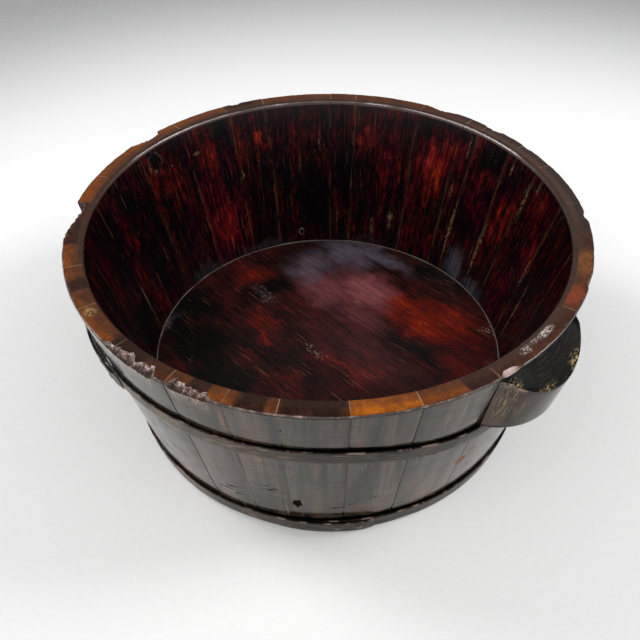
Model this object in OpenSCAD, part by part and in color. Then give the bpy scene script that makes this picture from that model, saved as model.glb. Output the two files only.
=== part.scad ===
// Coopered washing tub: bevelled staves round a boarded floor, two strap hoops and one hand lug.
// Millimetres. The tub's axis is Z, the staves stand on z = 0 and the lug points along +X.

/* [Tub] */
// Outside diameter at the rim
rim_outer_d = 480; // [440:1:560]
// Outside diameter at the foot
foot_outer_d = 384; // [360:1:430]
// Height from the ground to the rim
tub_h = 210; // [195:1:260]
// Thickness of the wall at the rim
rim_wall = 18; // [15:0.5:22]
// Thickness of the wall at the foot
foot_wall = 28; // [24:0.5:32]
// Radius of the rounded inner edge of the rim
rim_round = 5; // [2:0.5:7]
// Bevel on the outer edge of the rim
rim_outer_bevel = 1.5; // [0.5:0.1:3]
// Bevel on the outer edge of the foot
foot_bevel = 1.5; // [0.5:0.1:3]

/* [Staves] */
// Angle that the handle stave takes up
handle_stave_deg = 25; // [24:0.5:32]
// Gap in each joint between two staves
stave_gap = 0.2; // [0.1:0.05:0.4]

/* [Lug] */
// Radius of the lug's round front
lug_r = 57; // [50:0.5:60]
// How far the lug stands out from the wall
lug_reach = 26; // [18:0.5:30]
// Step from the rim down to the inner edge of the lug's top
lug_drop = 4; // [2:0.5:14]
// Fall of the lug's top towards its round front
lug_fall_deg = 42; // [20:1:45]
// Clearance between the lug and the hoop below it
lug_seat = 0.3; // [0.1:0.05:0.5]

/* [Floor] */
// Height of the floor's upper face above the ground
floor_top = 49; // [42:0.5:60]
// Thickness of the floor boards
floor_thick = 16; // [13:0.5:20]
// Thickness of the floor's edge, which sits in the groove of the staves
floor_edge = 10; // [7:0.5:12]
// Depth of the groove that holds the floor
croze_depth = 6; // [4:0.5:9]
// Clearance between the floor and its groove
floor_clear = 0.3; // [0.1:0.05:0.5]
// Gap in each joint between two floor boards
board_gap = 0.2; // [0.1:0.05:0.4]
// Place of the first board joint, across the tub
board_joint_1 = -59; // [-80:1:-40]
// Place of the second board joint, across the tub
board_joint_2 = 45; // [20:1:70]
// Place of the third board joint, across the tub
board_joint_3 = 136; // [115:1:145]
// Leg of the putty seam between floor and wall
seam_leg = 2.2; // [1.2:0.1:4]
// Clearance behind and below the putty seam
seam_clear = 0.1; // [0.05:0.05:0.2]

/* [Hoops] */
// Width of the hoop strap
hoop_w = 19; // [14:0.5:24]
// Thickness of the hoop strap
hoop_thick = 2.6; // [1.6:0.1:3.2]
// Clearance between a hoop and the wall
hoop_clear = 0.2; // [0.1:0.05:0.3]
// Height of the upper hoop's lower edge, away from the lug
upper_hoop_z = 139; // [120:1:150]
// How far the upper hoop dips to pass below the lug
hoop_dip = 17.5; // [10:0.5:22]
// Half width of the level stretch of the dip, below the lug
dip_flat = 56; // [54:1:64]
// Width over which the dip climbs back on each side
dip_run = 110; // [80:1:130]
// Height of the lower hoop's lower edge
lower_hoop_z = 1; // [0.5:0.5:6]
// Length of a hoop's lapped end
hoop_lap = 46; // [36:1:70]
// Length of the bend where a hoop's outer end steps over its inner end
hoop_step = 6; // [4:0.5:9]
// Turn of the upper hoop's lap round the tub
upper_lap_deg = 253; // [100:1:260]
// Turn of the lower hoop's lap round the tub
lower_lap_deg = 313; // [0:1:359]
// Diameter of a rivet's shank
rivet_d = 4; // [3:0.1:5]
// Diameter of a rivet's head
rivet_head_d = 7; // [6:0.1:10]
// Height of a rivet's head
rivet_head_h = 0.6; // [0.4:0.1:2]
// Distance between the two rivets of a lap
rivet_pitch = 20; // [16:0.5:22]
// Clearance round a rivet's shank
rivet_clear = 0.1; // [0.05:0.05:0.2]

/* [Pegs] */
// Diameter of the pegs between staves
stave_peg_d = 4; // [3:0.1:6]
// Length of the pegs between staves
stave_peg_len = 13; // [10:0.5:14]
// Height of the lower row of stave pegs
low_peg_z = 78; // [72:1:90]
// Height of the upper row of stave pegs
high_peg_z = 172; // [150:1:182]
// Diameter of the pegs between floor boards
floor_peg_d = 5; // [4:0.1:7]
// Length of the pegs between floor boards
floor_peg_len = 30; // [20:1:40]
// Distance between the two pegs of a floor joint
floor_peg_pitch = 120; // [80:1:140]
// Clearance round every peg
peg_clear = 0.1; // [0.05:0.05:0.2]

/* [Hidden] */
$fn = 96;
// Widths of the plain staves against each other, counter-clockwise from the handle stave
stave_shares = [
    20, 18, 16, 10, 12, 5, 14, 19, 7, 19, 11, 15, 16,
    12, 11, 16, 8, 14, 14, 14, 12, 10, 13, 13, 16
];
stave_count = len(stave_shares);

lacquer = "#2e1c16";
lacquer_red = "#4a1a12";
strap_brown = "#33261f";
putty = "#b9a891";
bamboo = "#b38a4d";

rim_r = rim_outer_d / 2;
foot_r = foot_outer_d / 2;
lean = (rim_r - foot_r) / tub_h;
lean_deg = atan(lean);
inner_lean = lean + (foot_wall - rim_wall) / tub_h;
inner_lean_deg = atan(inner_lean);
function outer_r(z) = foot_r + lean * z;
function inner_r(z) = foot_r - foot_wall + inner_lean * z;
function mid_r(z) = (outer_r(z) + inner_r(z)) / 2;
function arc_deg(length, radius) = length / radius * 180 / PI;

function sum_to(list, n) = n == 0 ? 0 : list[n - 1] + sum_to(list, n - 1);
handle_from = -handle_stave_deg / 2;
handle_to = handle_stave_deg / 2;
share_deg = (360 - handle_stave_deg) / sum_to(stave_shares, stave_count);
stave_gap_deg = arc_deg(stave_gap, foot_r);
function joint_deg(i) = handle_to + share_deg * sum_to(stave_shares, i);
function stave_name(i) = str("stave_", i < 10 ? "0" : "", i);

croze_r = inner_r(floor_top) + croze_depth;
croze_top = floor_top + floor_clear;
croze_low = floor_top - floor_edge - floor_clear;
floor_r = croze_r - floor_clear;
floor_under = floor_top - floor_thick;
floor_body_r = inner_r(floor_under) - floor_clear;
board_joints = [board_joint_1, board_joint_2, board_joint_3];
board_sides = [-floor_r, each board_joints, floor_r];

upper_hoop_top = upper_hoop_z + hoop_w;
lap_off = 2 * hoop_clear + hoop_thick;
lap_thick = lap_off + hoop_thick - hoop_clear;
step_deg = arc_deg(hoop_step, foot_r);
// Straight stretches in each side of the upper hoop's dip
dip_steps = 12;
lug_top = tub_h - lug_drop;
lug_under = upper_hoop_top - hoop_dip + lug_seat;
lug_axis_x = rim_r + lug_reach - lug_r / cos(lean_deg);

// Straight stretches in the rounded inner edge of the rim
round_steps = 5;
// Distance from the rim's inner corner to where its rounded edge begins
round_run = rim_round / tan((90 + inner_lean_deg) / 2);
// Rounded inner edge of the rim, from its flat top to the inner face
round_edge = [
    for (i = [0 : round_steps])
        let (turn = 90 + (90 - inner_lean_deg) * i / round_steps)
            [
                rim_r - rim_wall + round_run + rim_round * cos(turn),
                tub_h - rim_round + rim_round * sin(turn)
            ]
];

// Upright section through a stave, with the groove for the floor
wall_section = [
    [inner_r(0), 0],
    [foot_r - foot_bevel, 0],
    [outer_r(foot_bevel), foot_bevel],
    [outer_r(tub_h - rim_outer_bevel), tub_h - rim_outer_bevel],
    [rim_r - rim_outer_bevel, tub_h],
    each round_edge,
    [inner_r(croze_top), croze_top],
    [croze_r, croze_top],
    [croze_r, croze_low],
    [inner_r(croze_low), croze_low]
];

// Any section turned about the tub's axis from one angle to another
module swept(from, to) {
    rotate([0, 0, from])
        rotate_extrude(angle = to - from)
            children();
}

// One stave without its peg holes, bevelled to the axis on both edges
module stave_blank(from, to) {
    swept(from + stave_gap_deg / 2, to - stave_gap_deg / 2)
        polygon(wall_section);
}

// The two pegs of a stave joint, or their holes when there is some clearance
module joint_pegs(angle, clear) {
    for (z = [low_peg_z, high_peg_z])
        rotate([0, 0, angle])
            translate([mid_r(z), 0, z])
                rotate([90, 0, 0])
                    cylinder(d = stave_peg_d + 2 * clear, h = stave_peg_len + 2 * clear, center = true);
}

module stave(i) {
    color(lacquer)
        difference() {
            stave_blank(joint_deg(i - 1), joint_deg(i));
            joint_pegs(joint_deg(i - 1), peg_clear);
            joint_pegs(joint_deg(i), peg_clear);
        }
}

// Half-round hand lug, leaning with the wall, cut off aslant above and resting on the upper hoop
module lug() {
    lug_len = (tub_h + lug_r) / cos(lean_deg);
    lug_inside = mid_r(lug_under);
    intersection() {
        translate([lug_axis_x - lean * tub_h, 0, 0])
            rotate([0, lean_deg, 0])
                cylinder(r = lug_r, h = lug_len);
        rotate([90, 0, 0])
            linear_extrude(2 * lug_r, center = true)
                polygon([
                    [lug_inside, lug_under],
                    [rim_r + lug_reach, lug_under],
                    [rim_r + lug_reach, lug_top - lug_reach * tan(lug_fall_deg)],
                    [rim_r, lug_top],
                    [lug_inside, lug_top]
                ]);
        swept(handle_from + stave_gap_deg / 2, handle_to - stave_gap_deg / 2)
            polygon([
                [lug_inside, lug_under],
                [rim_r + lug_r, lug_under],
                [rim_r + lug_r, lug_top],
                [mid_r(lug_top), lug_top]
            ]);
    }
}

module handle_stave() {
    color(lacquer)
        difference() {
            union() {
                stave_blank(handle_from, handle_to);
                lug();
            }
            joint_pegs(handle_from, peg_clear);
            joint_pegs(handle_to, peg_clear);
        }
}

module stave_pegs() {
    color(bamboo)
        for (i = [0 : stave_count])
            joint_pegs(joint_deg(i), 0);
}

// The whole floor before it is sawn into boards, with a rebated edge for the groove
module floor_disc() {
    rotate_extrude()
        polygon([
            [0, floor_under],
            [floor_body_r, floor_under],
            [floor_body_r, floor_top - floor_edge],
            [floor_r, floor_top - floor_edge],
            [floor_r, floor_top],
            [0, floor_top]
        ]);
}

// The two pegs of a floor joint, or their holes when there is some clearance
module board_pegs(joint, clear) {
    for (side = [-1, 1])
        translate([side * floor_peg_pitch / 2, joint, floor_top - floor_thick / 2])
            rotate([90, 0, 0])
                cylinder(d = floor_peg_d + 2 * clear, h = floor_peg_len + 2 * clear, center = true);
}

module floor_board(i) {
    low = board_sides[i - 1] + board_gap / 2;
    high = board_sides[i] - board_gap / 2;
    color(lacquer_red)
        difference() {
            intersection() {
                floor_disc();
                translate([-floor_r, low, floor_under])
                    cube([2 * floor_r, high - low, floor_thick]);
            }
            for (joint = board_joints)
                board_pegs(joint, peg_clear);
        }
}

module floor_pegs() {
    color(bamboo)
        for (joint = board_joints)
            board_pegs(joint, 0);
}

// Fillet of putty that closes the joint between floor and wall
module floor_seam() {
    base = floor_top + seam_clear;
    color(putty)
        rotate_extrude()
            polygon([
                [inner_r(base) - seam_clear - seam_leg, base],
                [inner_r(base) - seam_clear, base],
                [inner_r(base + seam_leg) - seam_clear, base + seam_leg]
            ]);
}

// Section of a strap of any width that lies a given distance off the wall
module strap_section(z, width, off, thick) {
    top = z + width;
    polygon([
        [outer_r(z) + off, z],
        [outer_r(z) + off + thick, z],
        [outer_r(top) + off + thick, top],
        [outer_r(top) + off, top]
    ]);
}

// How far the upper hoop lies below its level at a distance across the tub from the lug
function dip_at(y) = hoop_dip * (1 + cos(180 * min(1, max(0, (abs(y) - dip_flat) / dip_run)))) / 2;

// The layer that the upper hoop lies in: level behind, dipping below the lug in front
module dipped_layer() {
    climb = [for (i = [0 : dip_steps]) dip_flat + dip_run * i / dip_steps];
    across = [-rim_outer_d, for (i = [dip_steps : -1 : 0]) -climb[i], each climb, rim_outer_d];
    last = len(across) - 1;
    translate([-rim_outer_d, -rim_outer_d, upper_hoop_z])
        cube([rim_outer_d, 2 * rim_outer_d, hoop_w]);
    rotate([90, 0, 90])
        linear_extrude(rim_outer_d)
            polygon([
                for (y = across) [y, upper_hoop_z - dip_at(y)],
                for (i = [last : -1 : 0]) [across[i], upper_hoop_top - dip_at(across[i])]
            ]);
}

// Places one rivet, or its hole, square to the strap in the middle of a lap
module at_lap_rivets(z, lap_start) {
    mid_z = z + hoop_w / 2;
    radius = outer_r(mid_z);
    for (side = [-1, 1])
        rotate([0, 0, lap_start + arc_deg(hoop_lap / 2 + side * rivet_pitch / 2, radius)])
            translate([radius + hoop_clear, 0, mid_z])
                rotate([0, 90 + lean_deg, 0])
                    children();
}

// Outer end of a hoop, stepped over its inner end, with the rivet holes through both
module lapped(z, lap_start) {
    difference() {
        union() {
            children();
            swept(lap_start - 2 * step_deg, lap_start - step_deg)
                strap_section(z, hoop_w, hoop_clear, lap_thick);
            swept(lap_start - 2 * step_deg, lap_start + arc_deg(hoop_lap, outer_r(z)))
                strap_section(z, hoop_w, lap_off, hoop_thick);
        }
        at_lap_rivets(z, lap_start)
            translate([0, 0, -hoop_thick])
                cylinder(d = rivet_d + 2 * rivet_clear, h = lap_thick + 3 * hoop_thick);
    }
}

module upper_hoop() {
    color(strap_brown)
        lapped(upper_hoop_z, upper_lap_deg)
            intersection() {
                swept(upper_lap_deg, upper_lap_deg + 360 - step_deg)
                    strap_section(lug_under - 2 * hoop_w, tub_h - lug_under, hoop_clear, hoop_thick);
                dipped_layer();
            }
}

module lower_hoop() {
    color(strap_brown)
        lapped(lower_hoop_z, lower_lap_deg)
            swept(lower_lap_deg, lower_lap_deg + 360 - step_deg)
                strap_section(lower_hoop_z, hoop_w, hoop_clear, hoop_thick);
}

// Rivets of one lap: a shank through both layers and a domed head outside
module lap_rivets(z, lap_start) {
    shank = lap_thick * cos(lean_deg) + rivet_clear;
    dome_r = (pow(rivet_head_h, 2) + pow(rivet_head_d / 2, 2)) / (2 * rivet_head_h);
    color(strap_brown)
        at_lap_rivets(z, lap_start) {
            cylinder(d = rivet_d, h = shank);
            intersection() {
                translate([0, 0, shank + rivet_head_h - dome_r])
                    sphere(r = dome_r);
                translate([0, 0, shank])
                    cylinder(d = rivet_head_d + 1, h = rivet_head_h);
            }
        }
}

for (i = [1 : stave_count])
    stave(i);
handle_stave();
for (i = [1 : len(board_joints) + 1])
    floor_board(i);
floor_seam();
upper_hoop();
lower_hoop();
lap_rivets(upper_hoop_z, upper_lap_deg);  // upper_hoop_rivets
lap_rivets(lower_hoop_z, lower_lap_deg);  // lower_hoop_rivets
stave_pegs();
floor_pegs();
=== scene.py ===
# %% [markdown]
# # An old coopered washing tub
# The tub is a ring of lacquered wooden staves, drawn tight by two flat strap hoops round a boarded floor.
# One stave carries a half-round hand lug. The solids of all pieces are loaded first and are never moved:
# each piece below is drawn over its own solid, with the wear, chips and finish of a much used tub.

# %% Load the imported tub
import math

import bmesh
import bpy
import numpy as np
from mathutils import Matrix, Vector


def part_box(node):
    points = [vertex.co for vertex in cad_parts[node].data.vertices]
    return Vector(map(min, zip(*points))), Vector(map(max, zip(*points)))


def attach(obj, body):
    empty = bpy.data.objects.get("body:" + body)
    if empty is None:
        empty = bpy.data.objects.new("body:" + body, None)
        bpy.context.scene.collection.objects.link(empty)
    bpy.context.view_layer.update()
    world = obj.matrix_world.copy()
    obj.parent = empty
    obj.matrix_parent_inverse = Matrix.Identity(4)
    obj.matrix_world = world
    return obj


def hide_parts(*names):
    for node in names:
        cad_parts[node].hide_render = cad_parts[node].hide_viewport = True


MM = 0.001
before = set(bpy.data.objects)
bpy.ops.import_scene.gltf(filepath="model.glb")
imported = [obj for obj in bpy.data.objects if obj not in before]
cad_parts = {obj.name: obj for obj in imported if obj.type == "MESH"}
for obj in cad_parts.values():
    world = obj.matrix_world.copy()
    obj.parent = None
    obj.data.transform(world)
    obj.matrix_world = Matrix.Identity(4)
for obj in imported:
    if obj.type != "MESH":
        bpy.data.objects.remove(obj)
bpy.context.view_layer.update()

# %% [markdown]
# ## Camera
# The photograph looks down on the tub from the side of the lug. A camera is placed by where it stands and
# where it points; a heading, a tilt and a small roll are easier to check against the photograph than an
# aim point, so its matrix is built from those three angles.

# %% Place the camera
def direction(azimuth, elevation=0.0):
    """A unit vector from an angle round the tub and an angle above the ground, both in degrees."""
    turn, rise = math.radians(azimuth), math.radians(elevation)
    return Vector((math.cos(turn) * math.cos(rise), math.sin(turn) * math.cos(rise), math.sin(rise)))


tub_middle = Vector((0, 0, 0.1))
camera_at = Vector((0.4464, -0.4543, 0.6739))
heading = 135.19
tilt_down = 42.85
roll = math.radians(-0.57)
lens = 47.8
sensor_width = 36

forward = direction(heading, -tilt_down)
level_right = direction(heading - 90)
level_up = level_right.cross(forward)
right = level_right * math.cos(roll) + level_up * math.sin(roll)
up = level_up * math.cos(roll) - level_right * math.sin(roll)

camera = bpy.data.objects.new("camera", bpy.data.cameras.new("camera"))
bpy.context.collection.objects.link(camera)
camera.data.lens = lens
camera.data.sensor_width = sensor_width
camera.matrix_world = Matrix((right, up, -forward)).transposed().to_4x4()
camera.matrix_world.translation = camera_at
bpy.context.scene.camera = camera
bpy.context.scene.view_settings.view_transform = "Standard"
print("camera", round((camera_at - tub_middle).length, 3), "m from the tub")

# %% [markdown]
# ## Small helpers for shader nodes
# Materials are built in code, so a few short functions keep them readable: one adds a node and fills its
# sockets with values or links, the others wrap the nodes that every finish uses: sums, smooth steps, noise
# and mixing one colour over another. Colours are written as they look on screen and turned to linear light.

# %% Sums and masks
def put(tree, kind, options=None, inputs=None):
    """Adds one node, sets its options, and fills its sockets with values or links."""
    made = tree.nodes.new(kind)
    for name, value in (options or {}).items():
        setattr(made, name, value)
    for key, value in (inputs or {}).items():
        if isinstance(value, bpy.types.NodeSocket):
            tree.links.new(value, made.inputs[key])
        else:
            made.inputs[key].default_value = value
    return made


def maths(tree, operation, *values):
    """One sum of values or sockets, kept between 0 and 1."""
    options = {"operation": operation, "use_clamp": True}
    return put(tree, "ShaderNodeMath", options, dict(enumerate(values))).outputs[0]


def both(tree, first, second):
    """The product of two masks, or of a mask and a share."""
    return maths(tree, "MULTIPLY", first, second)


def most(tree, strongest, *others):
    """The strongest of several masks at each place."""
    for mask in others:
        strongest = maths(tree, "MAXIMUM", strongest, mask)
    return strongest


def summed(tree, total, *parts):
    """A start value plus each value times its weight, without limits."""
    for value, weight in parts:
        inputs = {0: value, 1: weight, 2: total}
        total = put(tree, "ShaderNodeMath", {"operation": "MULTIPLY_ADD"}, inputs).outputs[0]
    return total


def step(tree, value, low, high, to_low=0.0, to_high=1.0):
    """A smooth step from to_low to to_high while value goes from low to high."""
    inputs = {"Value": value, "From Min": low, "From Max": high, "To Min": to_low, "To Max": to_high}
    return put(tree, "ShaderNodeMapRange", {"interpolation_type": "SMOOTHSTEP"}, inputs).outputs[0]


def vectors(tree, operation, *values):
    """One sum of vectors; a length or a dot product comes out as a number."""
    made = put(tree, "ShaderNodeVectorMath", {"operation": operation}, dict(enumerate(values)))
    return made.outputs["Value" if operation in ("LENGTH", "DOT_PRODUCT") else "Vector"]


def axes(tree, vector):
    """X, Y and Z of a vector, by name."""
    return put(tree, "ShaderNodeSeparateXYZ", None, {"Vector": vector}).outputs


def noise(tree, vector, scale=(1, 1, 1), detail=3.0, distortion=0.0, roughness=0.5):
    """Cloudy levels around 0.5, with a number of waves per metre along each axis."""
    inputs = {"Vector": vectors(tree, "MULTIPLY", vector, scale), "Scale": 1.0, "Detail": detail,
              "Distortion": distortion, "Roughness": roughness}
    return put(tree, "ShaderNodeTexNoise", None, inputs).outputs[0]


print("sums and masks ready")

# %% Colours and materials
def seen(red, green, blue_sheen):
    """A colour given as it looks on screen, 0 to 255, in linear light."""
    def linear(level):
        part = level / 255
        return part / 12.92 if part <= 0.04045 else ((part + 0.055) / 1.055) ** 2.4
    return (linear(red), linear(green), linear(blue_sheen), 1.0)


def ramp(tree, value, *stops):
    """Colours along a scale: each stop is a level and its colour."""
    made = put(tree, "ShaderNodeValToRGB", None, {"Fac": value})
    points = made.color_ramp.elements
    points[0].position, points[0].color = stops[0]
    points[1].position, points[1].color = stops[-1]
    for level, colour in stops[1:-1]:
        points.new(level).color = colour
    return made.outputs["Color"]


def over(tree, below, colour, mask, share=1.0):
    """One colour laid over another where the mask is 1, as strongly as the share says."""
    if share != 1.0:
        mask = both(tree, mask, share)
    inputs = {0: mask, 6: below, 7: colour}
    return put(tree, "ShaderNodeMix", {"data_type": "RGBA"}, inputs).outputs[2]


def attribute(tree, name):
    """What the points of a piece carry under a name, as the node's outputs."""
    return put(tree, "ShaderNodeAttribute", {"attribute_name": name}).outputs


def position(tree):
    """The place on the tub in metres: every piece keeps its origin on the tub's axis at the ground."""
    return put(tree, "ShaderNodeTexCoord").outputs["Object"]


def new_material(name, **constants):
    """A material whose constant values sit on the shader's own sockets."""
    material = bpy.data.materials.new(name)
    material.use_nodes = True
    shader = material.node_tree.nodes["Principled BSDF"]
    for key, value in constants.items():
        shader.inputs[key.replace("_", " ")].default_value = value
    return material, material.node_tree, shader.inputs


def bump(tree, height, strength, distance):
    """A normal from a height between 0 and 1, with the distance that 1 stands for."""
    inputs = {"Height": height, "Strength": strength, "Distance": distance}
    return put(tree, "ShaderNodeBump", None, inputs).outputs[0]


def feed(tree, shader, **values):
    """Links what changes over the surface to the shader; underscores in the names stand for spaces."""
    for key, value in values.items():
        tree.links.new(value, shader[key.replace("_", " ")])


print("colours and materials ready")

# %% [markdown]
# ## Effects shared by several finishes
# Joint lines, worn patches, scratches and single marks turn up on the wall, the rim, the floor and the
# seam. Each is a node group with named sockets, built once: a material places it and gives its own sizes.

# %% Joint lines and worn patches
def new_group(name, inputs, outputs):
    """A node group with named sockets, and the two nodes inside that carry them."""
    tree = bpy.data.node_groups.new(name, "ShaderNodeTree")
    for title, kind, value in inputs:
        socket = tree.interface.new_socket(title, in_out="INPUT", socket_type="NodeSocket" + kind)
        socket.default_value = value
    for title, kind in outputs:
        tree.interface.new_socket(title, in_out="OUTPUT", socket_type="NodeSocket" + kind)
    return tree, tree.nodes.new("NodeGroupInput").outputs, tree.nodes.new("NodeGroupOutput").inputs


def use(tree, group, **values):
    """Places a node group; underscores in the names stand for spaces."""
    inputs = {key.replace("_", " "): value for key, value in values.items()}
    return put(tree, "ShaderNodeGroup", {"node_tree": group}, inputs).outputs


# The line along a joint, broken here and there.
joint_line, given, out = new_group(
    "joint_line",
    [("Edge", "Float", 1.0), ("Grain", "Vector", (0, 0, 0)), ("Width", "Float", 0.0006),
     ("Broken", "Float", 0.5)],
    [("Line", "Float")])
near = step(joint_line, given["Edge"], given["Width"], 0.0)
dashes = noise(joint_line, given["Grain"], (40, 45, 3), 2.0)
kept = maths(joint_line, "GREATER_THAN", dashes, given["Broken"])
kept = both(joint_line, kept, step(joint_line, dashes, 0.3, 0.7))
joint_line.links.new(both(joint_line, near, kept), out["Line"])

# Patches where the lacquer has gone dull or rubbed thin.
worn_patches, given, out = new_group(
    "worn_patches",
    [("Grain", "Vector", (0, 0, 0)), ("Patches per metre", "Float", 30.0), ("Amount", "Float", 0.5),
     ("Softness", "Float", 0.12)],
    [("Patch", "Float")])
cloud = put(worn_patches, "ShaderNodeTexNoise", None,
            {"Vector": given["Grain"], "Scale": given["Patches per metre"], "Detail": 5.0, "Roughness": 0.6})
low = summed(worn_patches, 1.0, (given["Amount"], -1.0))
high = summed(worn_patches, low, (given["Softness"], 1.0))
worn_patches.links.new(step(worn_patches, cloud.outputs[0], low, high), out["Patch"])
print("node groups:", [group.name for group in bpy.data.node_groups])

# %% Scratches, single marks and ragged outlines
# Thin scratches that all run the same way.
scratches, given, out = new_group(
    "scratches",
    [("Grain", "Vector", (0, 0, 0)), ("Run", "Vector", (30, 900, 1)), ("Amount", "Float", 0.3)],
    [("Scratch", "Float")])
lines = noise(scratches, given["Grain"], given["Run"], 1.0)
patchy = noise(scratches, given["Grain"], (25, 25, 1), 2.0)
limit = summed(scratches, 0.78, (given["Amount"], -0.2))
upper = summed(scratches, 0.06, (limit, 1.0))
cut = step(scratches, lines, limit, upper)
scratches.links.new(both(scratches, cut, step(scratches, patchy, 0.42, 0.6)), out["Scratch"])

# One mark at a place: a soft-edged spot with its own reach along X, Y and Z.
mark_spot, given, out = new_group(
    "mark_spot",
    [("Position", "Vector", (0, 0, 0)), ("Place", "Vector", (0, 0, 0)), ("Reach", "Vector", (1, 1, 1)),
     ("Core", "Float", 0.4)],
    [("Spot", "Float")])
away = vectors(mark_spot, "SUBTRACT", given["Position"], given["Place"])
share = vectors(mark_spot, "DIVIDE", away, given["Reach"])
far = vectors(mark_spot, "LENGTH", share)
mark_spot.links.new(step(mark_spot, far, 1.0, given["Core"]), out["Spot"])

# A position that wavers a little, so that marks and patches get ragged outlines.
ragged, given, out = new_group(
    "ragged", [("Position", "Vector", (0, 0, 0)), ("Per metre", "Float", 90.0), ("By", "Float", 0.008)],
    [("Position", "Vector")])
shake = put(ragged, "ShaderNodeTexNoise", None,
            {"Vector": given["Position"], "Scale": given["Per metre"], "Detail": 3.0}).outputs["Color"]
centred = vectors(ragged, "SUBTRACT", shake, (0.5, 0.5, 0.5))
moved = vectors(ragged, "MULTIPLY", centred, given["By"])
ragged.links.new(vectors(ragged, "ADD", given["Position"], moved), out["Position"])
print("node groups:", [group.name for group in bpy.data.node_groups])

# %% [markdown]
# ## Measuring the tub
# The wall is a cone outside and a steeper cone inside, so two straight lines describe it. They are read from
# the corners of one solid stave, together with the groove for the floor; the lug is read from its own stave.
# Reading sizes from the solids keeps every drawn piece in its place if a size is changed later.

# %% Measure the wall and the groove
SAME_PLACE = 0.01 * MM


class Slope:
    """A straight wall through two points: its radius at a height, and its height at a radius."""
    def __init__(self, low, high):
        self.rise = (high[0] - low[0]) / (high[1] - low[1])
        self.foot = low[0] - self.rise * low[1]

    def __call__(self, height):
        return self.foot + self.rise * height

    def height_at(self, radius):
        return (radius - self.foot) / self.rise


def polar(name):
    """Radius, angle in degrees and height of every corner of a solid."""
    x, y, z = np.array([vertex.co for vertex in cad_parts[name].data.vertices]).T
    return np.hypot(x, y), np.degrees(np.arctan2(y, x)), z


def span(name):
    """First and last angle of a stave, in degrees."""
    radius, angle, _ = polar(name)
    middle = math.degrees(math.atan2(np.mean(radius * np.sin(np.radians(angle))),
                                     np.mean(radius * np.cos(np.radians(angle)))))
    away = (angle - middle + 180) % 360 - 180
    if middle + away.max() < 0:
        middle += 360
    return middle + away.min(), middle + away.max()


def pick(radius, height, where, widest):
    """The widest or narrowest corner among some, as (radius, height)."""
    found = np.flatnonzero(where)
    best = found[np.argmax(radius[found] if widest else -radius[found])]
    return radius[best], height[best]


r, _, z = polar("stave_01")
tub_top = z.max()
wall_out = Slope(pick(r, z, z < 5 * MM, True), pick(r, z, z > tub_top - 5 * MM, True))
wall_in = Slope(pick(r, z, z < 5 * MM, False), pick(r, z, z > tub_top - 10 * MM, False))
rim_r = wall_out(tub_top)
on_top = z > tub_top - SAME_PLACE
round_over = r[on_top].min() - wall_in(tub_top)
rim_bevel = rim_r - r[on_top].max()
board_low, board_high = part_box("floor_board_1")
groove = (z > board_low.z) & (z < board_high.z + 5 * MM) & (r > wall_in(z) + MM) & (r < wall_out(z) - MM)
groove_low, groove_top, groove_r = z[groove].min(), z[groove].max(), r[groove].max()
print("rim", round(rim_r, 4), "round-over", round(round_over, 4), "groove", round(groove_r, 4))

# %% Measure the lug
r, a, z = polar("handle_stave")
ahead, aside = r * np.cos(np.radians(a)), np.abs(r * np.sin(np.radians(a)))
on_lug = r > wall_out(z) + 0.5 * MM
lug_under, lug_top = z[on_lug].min(), z[on_lug].max()
tip = np.argmax(ahead)
lug_tip_x, lug_tip_z = ahead[tip], z[tip]
lug_fall = (lug_top - lug_tip_z) / (lug_tip_x - rim_r)
low_edge = on_lug & (z < lug_under + SAME_PLACE)
side_x, front_x, side_y = ahead[low_edge].min(), ahead[low_edge].max(), aside[low_edge].max()
lug_r = ((front_x - side_x) ** 2 + side_y ** 2) / (2 * (front_x - side_x))
print("lug radius", round(lug_r, 4), "from", round(lug_under, 4), "to", round(lug_top, 4))

# %% [markdown]
# ## Measuring the hoops
# The staves need to know where the hoops run, because the wall just above them carries painted shade with
# some dirt. Width, gap and thickness are read from the solid straps; the upper one hangs in a smooth wave
# where it passes below the lug.

# %% Measure the hoops
HOOP_LAP = 46 * MM
DIP_LEVEL_HALF = 56 * MM
DIP_CLIMB = 110 * MM
LEVEL_FROM = 100


def hoop_size(name):
    """Lower and upper edge of a strap where it is level, its gap to the wall and its thickness."""
    r, a, z = polar(name)
    off = r - wall_out(z)
    level = np.abs(a) > (LEVEL_FROM if name == "upper_hoop" else -1)
    layers = np.unique(np.round(off / MM, 1))
    return z[level].min(), z[level].max(), off.min(), layers[layers > 1.0].min() * MM - off.min()


hoop_sizes = {name: hoop_size(name) for name in ("upper_hoop", "lower_hoop")}
dip_depth = hoop_sizes["upper_hoop"][0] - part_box("upper_hoop")[0].z


def hoop_bottom(name, angle):
    """Height of a strap's lower edge at an angle round the tub."""
    low = hoop_sizes[name][0]
    turn = math.radians(angle)
    if name == "lower_hoop" or math.cos(turn) < 0:
        return low
    part = float(np.clip((abs(wall_out(low) * math.sin(turn)) - DIP_LEVEL_HALF) / DIP_CLIMB, 0, 1))
    return low - dip_depth * (1 + math.cos(math.pi * part)) / 2


def hoop_top(name, angle):
    """Height of a strap's upper edge at an angle round the tub."""
    low, high, _, _ = hoop_sizes[name]
    return hoop_bottom(name, angle) + high - low


print("hoops in mm:", {name: [round(v / MM, 1) for v in size] for name, size in hoop_sizes.items()})

# %% [markdown]
# ## Finish of the outer wall
# Outside, the lacquer is almost black and still glossy, so what one sees on it is mostly the pale floor,
# broken by fine scratches, dull patches and dark joint lines. A nearly black base with a clear, slightly warm
# gloss gives that by itself: painting it grey would look dead from every other side. The painted shade with
# some dirt above the hoops, pitch, knots, joints and a line below the worn rim have lost their gloss. Clear
# marks have a place of their own on the wall laid flat: the way round the rim and the height.

# %% Marks on the outer wall
MARK_CORE = 0.1


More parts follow.
